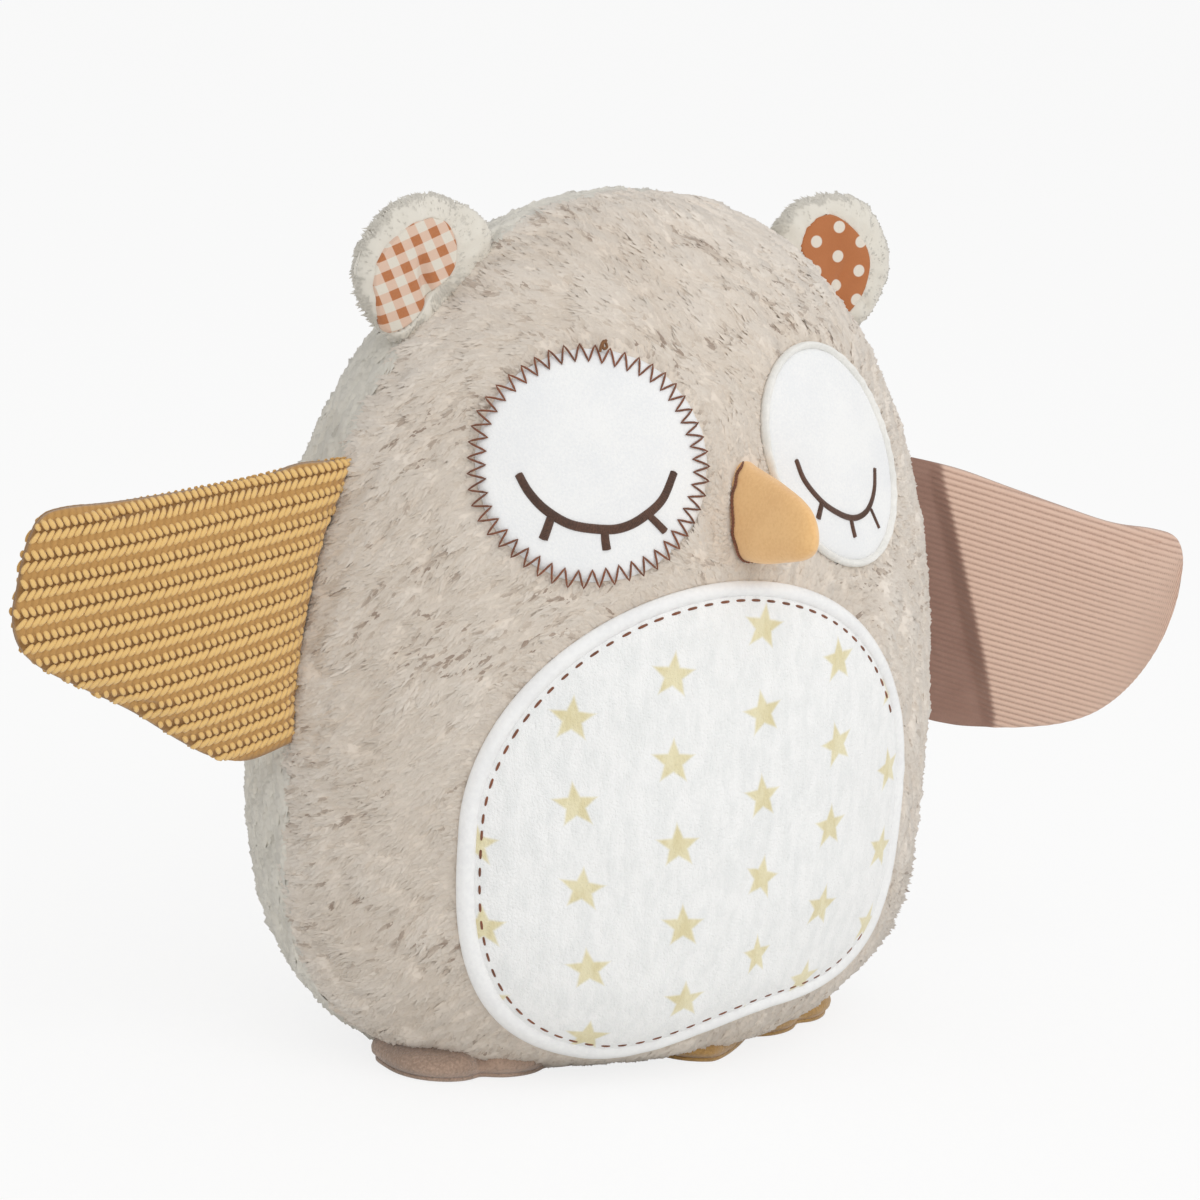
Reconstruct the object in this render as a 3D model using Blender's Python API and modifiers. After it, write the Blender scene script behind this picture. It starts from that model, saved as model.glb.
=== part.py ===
# Plush owl, sewn from panels: metres, +Z up, the owl faces -Y, its own left is +X.
# The origin is on the floor, in the flat base panel.

from math import cos, hypot, pi, radians, sin

import bmesh
import bpy
from mathutils import Matrix, Vector

# Clearances between sewn pieces, and how far a cutter runs past what it cuts
GAP = 0.0003
STUFFING_GAP = 0.0005
BASE_GAP = 0.0008
OVERRUN = 0.020

# Every sewn pad swells alike, and an edge sharper than this stays an edge
PAD_RINGS = 4
PAD_SWELL_POWER = 0.85
EDGE_DEG = 40.0

# Body: an egg, wedge-like in front, standing on a flat cut across its rounded bottom
BODY_HEIGHT = 0.257
BODY_HALF_WIDTH = 0.1094
BODY_FRONT = 0.0686
BODY_BACK = 0.1103
WIDEST_HEIGHT = 0.090
FRONT_DEEPEST_HEIGHT = 0.098
BACK_DEEPEST_HEIGHT = 0.087
BASE_DROP = 0.005
FRONT_BASE_DROP = 0.002
CROWN_SET_BACK = 0.0035
COVER_THICKNESS = 0.003
BASE_THICKNESS = 0.003
FRONT_POWER = 1.65
FRONT_SOFT_SHARE = 0.12
WIDTH_POWERS = (2.2, 0.465, 3.0, 0.31)
FRONT_POWERS = (1.8, 0.40, 2.8, 0.30)
BACK_POWERS = (1.6, 0.47, 2.2, 0.357)
BODY_RINGS = 17
BODY_SPOKES = 36

# Pellet bag, low at the back of the body where it keeps the owl upright
BAG_HALF_LENGTH = 0.042
BAG_HALF_DEPTH = 0.032
BAG_HALF_HEIGHT = 0.020
BAG_Y = 0.012
BAG_Z = 0.012
BAG_SEGMENTS = 20
BAG_RINGS = 10

# Belly patch and the satin edging round it
BELLY_MIDDLE_X = -0.0025
BELLY_HALF_WIDTH = 0.0749
BELLY_MIDDLE_SHARE = 0.323
BELLY_RISE = 0.0715
BELLY_RIGHT_DROP = 0.075
BELLY_LEFT_DROP = 0.061
BELLY_TOP_POWER = 2.0
BELLY_RIGHT_POWER = 2.8
BELLY_LEFT_POWER = 4.5
BELLY_BLEND = 0.060
BELLY_EDGING_WIDTH = 0.004
BELLY_THICKNESS = 0.0018
EDGING_THICKNESS = 0.0026
BELLY_POINTS = 36

# Eye discs
EYE_X = 0.0427
EYE_HEIGHT_SHARE = 0.7276
EYE_RADIUS = 0.033
EYE_EDGING_RADIUS = 0.0345
EYE_EDGING_WIDTH = 0.0022
EYE_THICKNESS = 0.0016
EYE_POINTS = 28

# Beak: a folded cone whose ridge runs down to a blunt tip
BEAK_X = 0.0030
BEAK_HALF_WIDTH = 0.0088
BEAK_BOTTOM_SHARE = 0.618
BEAK_HEIGHT = 0.0310
BEAK_REACH = 0.0340
BEAK_ROOT_DEPTH = 0.014
BEAK_TIP_RISE = 0.011
BEAK_COVER = 0.0012
BEAK_POINTS = 14
BEAK_BULGE_SHARE = 0.25
BEAK_RIDGE_SHARE = 0.35
BEAK_RIDGE_POWER = 1.5
BEAK_SQUARE_POWER = 0.7
BEAK_LENGTH_SHARES = (0.0, 0.45, 0.70, 0.86, 0.95, 1.0)
BEAK_SIZE_SHARES = (1.0, 0.83, 0.68, 0.52, 0.36, 0.16)

# Ears: round pads set on the shoulders of the head, each with a printed lining
EAR_SEAT_SHARE = 0.894
EAR_Y = 0.006
EAR_RISE = 0.007
EAR_RADIUS = 0.0225
EAR_HALF_THICKNESS = 0.0095
EAR_COVER = 0.003
EAR_BEND_DEG = 15.0
LINING_SLIDE = 0.0025
LINING_HALF_WIDTH = 0.0125
LINING_HALF_HEIGHT = 0.0175
LINING_LEAN_DEG = 20.0
LINING_THICKNESS = 0.0014
EAR_POINTS = 20
LINING_POINTS = 18

# Wings: flat pads sewn into the side seams
WING_SEAM_SHARES = (0.3775, 0.7040)
WING_LENGTH = 0.0890
WING_HINGE_OFFSET = 0.0045
WING_COVER = 0.0014
WING_HALF_THICKNESS = {"right": 0.0070, "left": 0.0055}
WING_YAW_DEG = {"right": 0.0, "left": 20.0}

# Each outline runs from the foot of the root round the tip: shares of the wing's length
# and of the sewn seam
WING_OUTLINE_SHARES = {
    "right": ((0.10, -0.045), (0.23, -0.045), (0.36, 0.0), (0.54, 0.08), (0.71, 0.135),
              (0.87, 0.19), (0.955, 0.25), (0.995, 0.34), (1.0, 0.45), (0.995, 0.58),
              (0.97, 0.675), (0.90, 0.72), (0.72, 0.765), (0.50, 0.83), (0.34, 0.88),
              (0.18, 0.94)),
    "left": ((0.08, -0.145), (0.22, -0.18), (0.38, -0.205), (0.53, -0.205), (0.66, -0.165),
             (0.78, -0.085), (0.885, 0.04), (0.96, 0.19), (0.995, 0.33), (1.0, 0.41),
             (0.975, 0.475), (0.90, 0.515), (0.74, 0.565), (0.55, 0.655), (0.37, 0.745),
             (0.18, 0.845)),
}
WING_CENTRE_SHARES = {"right": (0.48, 0.44), "left": (0.50, 0.33)}
WING_ROOT_SHARES = (0.93, 0.75, 0.57, 0.39, 0.21, 0.03)

# Feet: three-toed pads that lie under the front of the body
FOOT_X = {"right": -0.0450, "left": 0.0450}
FOOT_Y = {"right": -0.0060, "left": -0.0025}
FOOT_YAW_DEG = {"right": 0.0, "left": 14.0}
FOOT_HALF_WIDTH = 0.0355
FOOT_TOE_REACH = 0.0265
FOOT_HEEL_REACH = 0.0190
FOOT_HEIGHT = 0.0095
TOE_SPACING = 0.0235
TOE_RADIUS = 0.0122
FOOT_SOLE = 0.0014
FOOT_COVER = 0.0014
FOOT_POINTS = 32
FOOT_RISE_SHARES = (0.0, 0.25, 0.55, 0.85, 1.0)
FOOT_SIZE_SHARES = (0.93, 1.0, 0.97, 0.84, 0.62)

CLOTH_ROUGHNESS = 0.9
COLOURS = {
    "fur": (0.66, 0.58, 0.52),
    "fur_grey": (0.66, 0.66, 0.63),
    "minky": (0.87, 0.86, 0.83),
    "satin": (0.90, 0.90, 0.88),
    "felt": (0.90, 0.90, 0.91),
    "suede": (0.72, 0.46, 0.24),
    "gingham": (0.72, 0.42, 0.30),
    "rust": (0.52, 0.23, 0.10),
    "knit": (0.72, 0.43, 0.14),
    "corduroy": (0.58, 0.38, 0.32),
    "mauve": (0.45, 0.31, 0.25),
    "mustard": (0.60, 0.38, 0.16),
    "filling": (0.88, 0.88, 0.88),
    "calico": (0.80, 0.76, 0.68),
}


# Scene helpers

def clear_scene():
    for obj in list(bpy.data.objects):
        bpy.data.objects.remove(obj, do_unlink=True)


def new_collection(name):
    collection = bpy.data.collections.new(name)
    bpy.context.scene.collection.children.link(collection)
    return collection


def material(name, finish):
    mat = bpy.data.materials.new(name)
    mat.use_nodes = True
    shader = mat.node_tree.nodes["Principled BSDF"]
    shader.inputs["Base Color"].default_value = (*COLOURS[finish], 1.0)
    shader.inputs["Roughness"].default_value = CLOTH_ROUGHNESS
    shader.inputs["Metallic"].default_value = 0.0
    return mat


def add_mesh(bm, name, collection, finish=None):
    bmesh.ops.recalc_face_normals(bm, faces=bm.faces)
    mesh = bpy.data.meshes.new(name)
    bm.to_mesh(mesh)
    bm.free()
    obj = bpy.data.objects.new(name, mesh)
    collection.objects.link(obj)
    if finish:
        mesh.materials.append(material(name, finish))
        mesh.shade_smooth()
        mesh.set_sharp_from_angle(angle=radians(EDGE_DEG))
    else:
        obj.hide_render = True
        obj.display_type = "WIRE"
    return obj


def cut(obj, cutter, operation="DIFFERENCE"):
    boolean = obj.modifiers.new(operation.title(), "BOOLEAN")
    boolean.operation = operation
    boolean.solver = "EXACT"
    boolean.object = cutter
    return boolean


def cutter_box(name, low, high):
    bm = bmesh.new()
    bmesh.ops.create_cube(bm, size=1.0)
    size = [b - a for a, b in zip(low, high)]
    middle = [(a + b) / 2 for a, b in zip(low, high)]
    bmesh.ops.scale(bm, vec=size, verts=bm.verts)
    bmesh.ops.translate(bm, vec=middle, verts=bm.verts)
    return add_mesh(bm, name, cutters)


def turned_copy(cutter, name, turn):
    copy = bpy.data.objects.new(name, cutter.data)
    copy.matrix_world = turn
    copy.hide_render = True
    copy.display_type = "WIRE"
    cutters.objects.link(copy)
    return copy


def add_hinge(name, place):
    hinge = bpy.data.objects.new(name, None)
    hinge.matrix_world = place
    owl.objects.link(hinge)
    point = tuple(round(c, 5) for c in place.translation)
    print(name, "at", point, "axis", tuple(round(c, 5) for c in place.to_3x3().col[1]))
    return hinge


def hang_on(piece, hinge):
    piece.parent = hinge
    piece.matrix_parent_inverse = hinge.matrix_world.inverted()


def turn_about(point, axis, angle):
    to_point = Matrix.Translation(point)
    return to_point @ Matrix.Rotation(angle, 4, axis) @ to_point.inverted()


# Body surface

def fullness(z, deepest, powers, drop):
    crown_power, crown_fullness, base_power, base_fullness = powers
    if z >= deepest:
        t = min((z - deepest) / (BODY_HEIGHT - deepest), 1.0)
        return (1.0 - t ** crown_power) ** crown_fullness
    t = min((deepest - z) / (deepest + drop), 1.0)
    return (1.0 - t ** base_power) ** base_fullness


def half_width(z):
    return BODY_HALF_WIDTH * fullness(z, WIDEST_HEIGHT, WIDTH_POWERS, BASE_DROP)


def lean(z):
    return CROWN_SET_BACK * max(z / BODY_HEIGHT, 0.0) ** 3


def front_y(x, z):
    # The front is a wedge whose middle is softly rounded
    soft = FRONT_SOFT_SHARE
    share = (hypot(x / half_width(z), soft) - soft) / (hypot(1.0, soft) - soft)
    depth = BODY_FRONT * fullness(z, FRONT_DEEPEST_HEIGHT, FRONT_POWERS, FRONT_BASE_DROP)
    return lean(z) - depth * max(1.0 - share ** FRONT_POWER, 0.0) ** (1.0 / FRONT_POWER)


def body_point(z, angle):
    across = cos(angle)
    along = sin(angle)
    if along >= 0:
        depth = BODY_BACK * fullness(z, BACK_DEEPEST_HEIGHT, BACK_POWERS, BASE_DROP)
        return Vector((half_width(z) * across, lean(z) + depth * along, z))
    side = 1.0 if across >= 0 else -1.0
    x = side * half_width(z) * abs(across) ** (2.0 / FRONT_POWER)
    return Vector((x, front_y(x, z), z))


def body_heights():
    span = BODY_HEIGHT + BASE_DROP
    return [span * (1.0 - cos(pi * k / BODY_RINGS)) / 2 - BASE_DROP for k in range(1, BODY_RINGS)]


def body_loft(grow=0.0, closed=True):
    bm = bmesh.new()
    rings = []
    for z in body_heights():
        ring = []
        for k in range(BODY_SPOKES):
            ring.append(bm.verts.new(body_point(z, 2 * pi * k / BODY_SPOKES)))
        rings.append(ring)
    top = bm.verts.new((0.0, CROWN_SET_BACK, BODY_HEIGHT))
    for lower, upper in zip(rings, rings[1:]):
        for k in range(BODY_SPOKES):
            n = (k + 1) % BODY_SPOKES
            bm.faces.new((lower[k], lower[n], upper[n], upper[k]))
    for k in range(BODY_SPOKES):
        bm.faces.new((rings[-1][k], rings[-1][(k + 1) % BODY_SPOKES], top))
    if closed:
        bm.faces.new(list(reversed(rings[0])))
    bm.normal_update()
    if grow:
        moves = [(v, v.normal.copy() * grow) for v in bm.verts]
        for vert, move in moves:
            vert.co += move
    return bm


def front_normal(x, z):
    step = BODY_HEIGHT / 500
    dx = (front_y(x + step, z) - front_y(x - step, z)) / (2 * step)
    dz = (front_y(x, z + step) - front_y(x, z - step)) / (2 * step)
    return Vector((dx, -1.0, dz)).normalized()


# Flat outlines and pads

def prism(outline, low, high, place):
    bm = bmesh.new()
    face = bm.faces.new([bm.verts.new((u, v, low)) for u, v in outline])
    extruded = bmesh.ops.extrude_face_region(bm, geom=[face])
    moved = [g for g in extruded["geom"] if isinstance(g, bmesh.types.BMVert)]
    bmesh.ops.translate(bm, vec=(0.0, 0.0, high - low), verts=moved)
    bmesh.ops.transform(bm, matrix=place, verts=bm.verts)
    return bm


def pad(outline, centre, half, place, shrink=0.0):
    # A pad swells from its seam to its middle on both sides of the seam's plane
    bm = bmesh.new()
    cu, cv = centre
    loops = []
    for side in (-1.0, 1.0):
        side_loops = []
        for k in range(0 if side > 0 else 1, PAD_RINGS):
            angle = (pi / 2) * k / PAD_RINGS
            ring = []
            for u, v in outline:
                reach = hypot(u - cu, v - cv)
                share = max(reach - shrink, 0.0) / reach * cos(angle)
                w = side * max(half - shrink, 0.0) * sin(angle) ** PAD_SWELL_POWER
                ring.append(bm.verts.new((cu + (u - cu) * share, cv + (v - cv) * share, w)))
            side_loops.append(ring)
        pole = bm.verts.new((cu, cv, side * max(half - shrink, 0.0)))
        loops.append((side_loops, pole))
    (back, back_pole), (front, front_pole) = loops
    stack = list(reversed(back)) + front
    count = len(outline)
    for lower, upper in zip(stack, stack[1:]):
        for k in range(count):
            n = (k + 1) % count
            bm.faces.new((lower[k], lower[n], upper[n], upper[k]))
    for k in range(count):
        n = (k + 1) % count
        bm.faces.new((stack[-1][k], stack[-1][n], front_pole))
        bm.faces.new((stack[0][n], stack[0][k], back_pole))
    bmesh.ops.transform(bm, matrix=place, verts=bm.verts)
    return bm


def frame_from(origin, right, up):
    normal = right.cross(up).normalized()
    place = Matrix((right, up, normal)).transposed().to_4x4()
    place.translation = origin
    return place


def ellipse(half_u, half_v, count, centre=(0.0, 0.0), tilt=0.0):
    points = []
    for k in range(count):
        angle = 2 * pi * k / count
        u = half_u * cos(angle)
        v = half_v * sin(angle)
        across = u * cos(tilt) - v * sin(tilt)
        along = u * sin(tilt) + v * cos(tilt)
        points.append((centre[0] + across, centre[1] + along))
    return points


clear_scene()
owl = new_collection("plush_owl")
cutters = new_collection("cutters")

FAR = BODY_BACK + WING_LENGTH + OVERRUN
TOP = BODY_HEIGHT + OVERRUN
HALF_GAP = GAP / 2

above_base = cutter_box("above_base", (-FAR, -FAR, BASE_THICKNESS + GAP), (FAR, FAR, TOP))
above_sole = cutter_box("above_sole", (-FAR, -FAR, FOOT_SOLE + GAP), (FAR, FAR, TOP))
front_half = cutter_box("front_half", (-FAR, -FAR, 0.0), (FAR, -HALF_GAP, TOP))
back_right_half = cutter_box("back_right_half", (-FAR, HALF_GAP, 0.0), (-HALF_GAP, FAR, TOP))
back_left_half = cutter_box("back_left_half", (HALF_GAP, HALF_GAP, 0.0), (FAR, FAR, TOP))
body_clearance = add_mesh(body_loft(GAP), "body_clearance", cutters)


# Body covers, base and filling

def make_body_cover(name, side, finish):
    cover = add_mesh(body_loft(closed=False), name, owl, finish)
    shell = cover.modifiers.new("Cloth", "SOLIDIFY")
    shell.thickness = COVER_THICKNESS
    shell.offset = -1.0
    cut(cover, side, "INTERSECT")
    return cover


def bag_form(grow):
    bm = bmesh.new()
    bmesh.ops.create_uvsphere(bm, u_segments=BAG_SEGMENTS, v_segments=BAG_RINGS, radius=1.0)
    size = (BAG_HALF_LENGTH + grow, BAG_HALF_DEPTH + grow, BAG_HALF_HEIGHT + grow)
    bmesh.ops.scale(bm, vec=size, verts=bm.verts)
    bmesh.ops.translate(bm, vec=(0.0, BAG_Y, BAG_Z), verts=bm.verts)
    return bm


def make_body():
    make_body_cover("front_panel", front_half, "fur")
    make_body_cover("back_panel_right", back_right_half, "fur_grey")
    make_body_cover("back_panel_left", back_left_half, "fur_grey")
    base = add_mesh(body_loft(-COVER_THICKNESS - BASE_GAP), "base_panel", owl, "fur_grey")
    slab = cutter_box("base_slab", (-FAR, -FAR, 0.0), (FAR, FAR, BASE_THICKNESS))
    cut(base, slab, "INTERSECT")
    bag = add_mesh(bag_form(0.0), "pellet_bag", owl, "calico")
    cut(bag, above_base, "INTERSECT")
    stuffing = add_mesh(body_loft(-COVER_THICKNESS - STUFFING_GAP), "body_stuffing", owl, "filling")
    cut(stuffing, above_base, "INTERSECT")
    cut(stuffing, add_mesh(bag_form(GAP), "bag_space", cutters))


# Appliques on the front

def belly_outline(inset):
    # The bottom edge rises over the left foot
    points = []
    for k in range(BELLY_POINTS):
        angle = 2 * pi * k / BELLY_POINTS
        u = (BELLY_HALF_WIDTH - inset) * cos(angle)
        if sin(angle) >= 0:
            power = BELLY_TOP_POWER
            reach = BELLY_RISE - inset
        else:
            share = min(max(u / BELLY_BLEND + 1 / 2, 0.0), 1.0)
            share = share * share * (3 - 2 * share)
            power = BELLY_RIGHT_POWER + (BELLY_LEFT_POWER - BELLY_RIGHT_POWER) * share
            reach = inset - BELLY_RIGHT_DROP - (BELLY_LEFT_DROP - BELLY_RIGHT_DROP) * share
        tall = (1.0 - abs(cos(angle)) ** power) ** (1.0 / power)
        points.append((BELLY_MIDDLE_X + u, BELLY_MIDDLE_SHARE * BODY_HEIGHT + reach * tall))
    return points


def make_belly():
    facing_front = frame_from(Vector((0.0, 0.0, 0.0)), Vector((1.0, 0.0, 0.0)), Vector((0.0, 0.0, 1.0)))
    patch_skin = add_mesh(body_loft(GAP + BELLY_THICKNESS), "belly_skin", cutters)
    edging_skin = add_mesh(body_loft(GAP + EDGING_THICKNESS), "edging_skin", cutters)
    near = COVER_THICKNESS
    far = BODY_FRONT + OVERRUN
    patch_outline = belly_outline(BELLY_EDGING_WIDTH + GAP)
    patch = add_mesh(prism(patch_outline, near, far, facing_front), "belly_patch", owl, "minky")
    cut(patch, patch_skin, "INTERSECT")
    cut(patch, body_clearance)
    window_outline = belly_outline(BELLY_EDGING_WIDTH)
    window = add_mesh(prism(window_outline, 0.0, far + OVERRUN, facing_front), "belly_window", cutters)
    edging = add_mesh(prism(belly_outline(0.0), near, far, facing_front), "belly_edging", owl, "satin")
    cut(edging, edging_skin, "INTERSECT")
    cut(edging, body_clearance)
    cut(edging, window)


def eye_place(side):
    x = side * EYE_X
    z = EYE_HEIGHT_SHARE * BODY_HEIGHT
    centre = Vector((x, front_y(x, z), z))
    normal = front_normal(x, z)
    up = Vector((0.0, 0.0, 1.0))
    up = (up - normal * up.dot(normal)).normalized()
    return frame_from(centre, up.cross(normal), up)


def make_eye(name, side, radius, thickness, hole_radius=0.0, finish="felt"):
    place = eye_place(side)
    skin = add_mesh(body_loft(GAP + thickness), name + "_skin", cutters)
    disc = ellipse(radius, radius, EYE_POINTS)
    reach = BODY_FRONT / 2
    patch = add_mesh(prism(disc, -reach, reach, place), name, owl, finish)
    cut(patch, skin, "INTERSECT")
    cut(patch, body_clearance)
    if hole_radius:
        hole = ellipse(hole_radius, hole_radius, EYE_POINTS)
        cut(patch, add_mesh(prism(hole, -2 * reach, 2 * reach, place), name + "_hole", cutters))


def make_eyes():
    inner = EYE_EDGING_RADIUS - EYE_EDGING_WIDTH
    make_eye("eye_patch_right", -1, EYE_RADIUS, EYE_THICKNESS)
    make_eye("eye_patch_left", 1, inner - GAP, EYE_THICKNESS)
    make_eye("eye_edging_left", 1, EYE_EDGING_RADIUS, EDGING_THICKNESS, inner, "satin")


# Beak

def beak_form(shrink):
    # Rings narrow from the sewn edge to the tip, flat below and ridged above
    bm = bmesh.new()
    bottom = BEAK_BOTTOM_SHARE * BODY_HEIGHT
    face_y = front_y(BEAK_X, bottom + BEAK_HEIGHT / 2)
    root_y = face_y + BEAK_ROOT_DEPTH
    length = shrink - BEAK_REACH - BEAK_ROOT_DEPTH
    stations = list(zip(BEAK_LENGTH_SHARES, BEAK_SIZE_SHARES))
    if shrink:
        stations.pop()
    rings = []
    for along, size in stations:
        half = BEAK_HALF_WIDTH * (size + BEAK_BULGE_SHARE * along * (1 - along)) - shrink
        tall = BEAK_HEIGHT * size - 2 * shrink
        low = bottom + BEAK_TIP_RISE * along * along * (1 - size / 2) + shrink
        ring = []
        for k in range(BEAK_POINTS):
            angle = 2 * pi * (k + 0.5) / BEAK_POINTS
            rise = (1.0 + sin(angle)) / 2
            side = 1.0 if cos(angle) >= 0 else -1.0
            width = half * side * abs(cos(angle)) ** BEAK_SQUARE_POWER
            width *= 1.0 - BEAK_RIDGE_SHARE * rise ** BEAK_RIDGE_POWER
            ring.append(bm.verts.new((BEAK_X + width, root_y + length * along, low + tall * rise)))
        rings.append(ring)
    for lower, upper in zip(rings, rings[1:]):
        for k in range(BEAK_POINTS):
            n = (k + 1) % BEAK_POINTS
            bm.faces.new((lower[k], lower[n], upper[n], upper[k]))
    bm.faces.new(rings[0])
    bm.faces.new(list(reversed(rings[-1])))
    return bm


def make_beak():
    cover = add_mesh(beak_form(0.0), "beak_cover", owl, "suede")
    cut(cover, body_clearance)
    cut(cover, add_mesh(beak_form(BEAK_COVER), "beak_space", cutters))
    stuffing = add_mesh(beak_form(BEAK_COVER + STUFFING_GAP), "beak_stuffing", owl, "filling")
    cut(stuffing, body_clearance)


# Ears

def ear_seat(side):
    # Where the ear meets the head, the way out of the head there, and the way along the sewn edge
    z = EAR_SEAT_SHARE * BODY_HEIGHT
    step = BODY_HEIGHT / 500
    slope = (half_width(z + step) - half_width(z - step)) / (2 * step)
    along = Vector((side * slope, 0.0, 1.0)).normalized()
    out = Vector((side, 0.0, -slope)).normalized()
    return Vector((side * half_width(z), EAR_Y, z)), out, along


def ear_sweeps(name, seat, along):
    # The head's surface at rest and with the ear bent each way, so that the ear clears it
    sweeps = [body_clearance]
    for share in (-1.0, 1.0):
        turn = turn_about(seat, along, share * radians(EAR_BEND_DEG))
        sweeps.append(turned_copy(body_clearance, "%s_swing_%d" % (name, len(sweeps)), turn))
    return sweeps


def make_ear(word, side, lining_finish):
    name = "ear_" + word
    seat, out, along = ear_seat(side)
    middle = seat + out * EAR_RISE
    lining_middle = middle - along * LINING_SLIDE
    facing = frame_from(Vector((0.0, EAR_Y, 0.0)), Vector((1.0, 0.0, 0.0)), Vector((0.0, 0.0, 1.0)))
    outline = ellipse(EAR_RADIUS, EAR_RADIUS, EAR_POINTS, (middle.x, middle.z))
    tilt = side * radians(LINING_LEAN_DEG)
    half = EAR_HALF_THICKNESS

    def pad_at(shrink):
        return pad(outline, (middle.x, middle.z), half, facing, shrink)

    def lining_prism(grow):
        shape = ellipse(LINING_HALF_WIDTH + grow, LINING_HALF_HEIGHT + grow, LINING_POINTS,
                        (lining_middle.x, lining_middle.z), tilt)
        return prism(shape, 0.0, half + OVERRUN, facing)

    cover = add_mesh(pad_at(0.0), name + "_cover", owl, "fur")
    space = add_mesh(pad_at(EAR_COVER), name + "_space", cutters)
    cut(cover, space)
    cut(cover, add_mesh(lining_prism(GAP), name + "_window", cutters))
    lining = add_mesh(lining_prism(0.0), name + "_lining", owl, lining_finish)
    cut(lining, add_mesh(pad_at(EAR_COVER - LINING_THICKNESS), name + "_lining_face", cutters), "INTERSECT")
    cut(lining, space)
    stuffing = add_mesh(pad_at(EAR_COVER + GAP), name + "_stuffing", owl, "filling")
    hinge = add_hinge(name + "_hinge", frame_from(seat, out, along))
    for piece in (cover, lining, stuffing):
        for cutter in ear_sweeps(name, seat, along):
            cut(piece, cutter)
        hang_on(piece, hinge)


# Wings

def seam_line(side):
    low, high = (share * BODY_HEIGHT for share in WING_SEAM_SHARES)
    return Vector((side * half_width(low), 0.0, low)), Vector((side * half_width(high), 0.0, high))


def wing_place(word, side):
    low, high = seam_line(side)
    up = (high - low).normalized()
    out = Vector((side, 0.0, 0.0))
    out = (out - up * out.dot(up)).normalized()
    hinge = low + out * WING_HINGE_OFFSET
    turn = Matrix.Rotation(-side * radians(WING_YAW_DEG[word]), 3, up)
    return frame_from(hinge, turn @ out, up)


def wing_outline(word, side):
    low, high = seam_line(side)
    seam = (high - low).length
    outline = [(u * WING_LENGTH, v * seam) for u, v in WING_OUTLINE_SHARES[word]]
    for share in WING_ROOT_SHARES:
        point = low.lerp(high, share)
        bulge = half_width(point.z) - abs(point.x)
        outline.append((bulge + GAP - WING_HINGE_OFFSET, share * seam))
    return outline, seam


def make_wing(word, side, finish):
    name = "wing_" + word
    place = wing_place(word, side)
    outline, seam = wing_outline(word, side)
    share_u, share_v = WING_CENTRE_SHARES[word]
    centre = (share_u * WING_LENGTH, share_v * seam)
    half = WING_HALF_THICKNESS[word]
    facing = 1.0 if (place.to_3x3() @ Vector((0.0, 0.0, 1.0))).y < 0 else -1.0
    reach = WING_LENGTH + OVERRUN
    box = [(-reach, -reach), (2 * reach, -reach), (2 * reach, 2 * reach), (-reach, 2 * reach)]
    space = add_mesh(pad(outline, centre, half, place, WING_COVER), name + "_space", cutters)
    hinge = add_hinge(name + "_hinge", place)
    for part, sign in (("_front", facing), ("_back", -facing)):
        cover = add_mesh(pad(outline, centre, half, place), name + part, owl, finish)
        limits = sorted((sign * HALF_GAP, sign * (half + OVERRUN)))
        side_box = add_mesh(prism(box, *limits, place), name + part + "_side", cutters)
        cut(cover, side_box, "INTERSECT")
        cut(cover, space)
        hang_on(cover, hinge)
    inner = pad(outline, centre, half, place, WING_COVER + GAP)
    hang_on(add_mesh(inner, name + "_stuffing", owl, "filling"), hinge)


# Feet

def foot_outline(inset):
    points = []
    for k in range(FOOT_POINTS):
        angle = 2 * pi * (k + 0.5) / FOOT_POINTS
        u = FOOT_HALF_WIDTH * cos(angle)
        if sin(angle) >= 0:
            v = FOOT_HEEL_REACH * sin(angle)
        else:
            nearest = max(-1, min(1, round(u / TOE_SPACING)))
            off = min(abs(u - nearest * TOE_SPACING) / TOE_RADIUS, 1.0)
            toe = TOE_RADIUS * (1.0 - off * off) ** 0.5 / 2
            v = -(FOOT_TOE_REACH - TOE_RADIUS / 2) * (-sin(angle)) ** 0.5 - toe * (-sin(angle)) ** 0.5
        reach = hypot(u, v)
        share = (reach - inset) / reach
        points.append((u * share, v * share))
    return points


def foot_place(word):
    turn = Matrix.Rotation(radians(FOOT_YAW_DEG[word]), 4, "Z")
    return Matrix.Translation((FOOT_X[word], FOOT_Y[word], 0.0)) @ turn


def foot_form(word, high, inset):
    # The pad's side swells out between its sole and its top
    bm = bmesh.new()
    outline = foot_outline(inset)
    rings = []
    for rise, size in zip(FOOT_RISE_SHARES, FOOT_SIZE_SHARES):
        rings.append([bm.verts.new((u * size, v * size, high * rise)) for u, v in outline])
    for lower, upper in zip(rings, rings[1:]):
        for k in range(FOOT_POINTS):
            n = (k + 1) % FOOT_POINTS
            bm.faces.new((lower[k], lower[n], upper[n], upper[k]))
    bm.faces.new(list(reversed(rings[0])))
    bm.faces.new(rings[-1])
    bmesh.ops.transform(bm, matrix=foot_place(word), verts=bm.verts)
    return bm


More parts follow.
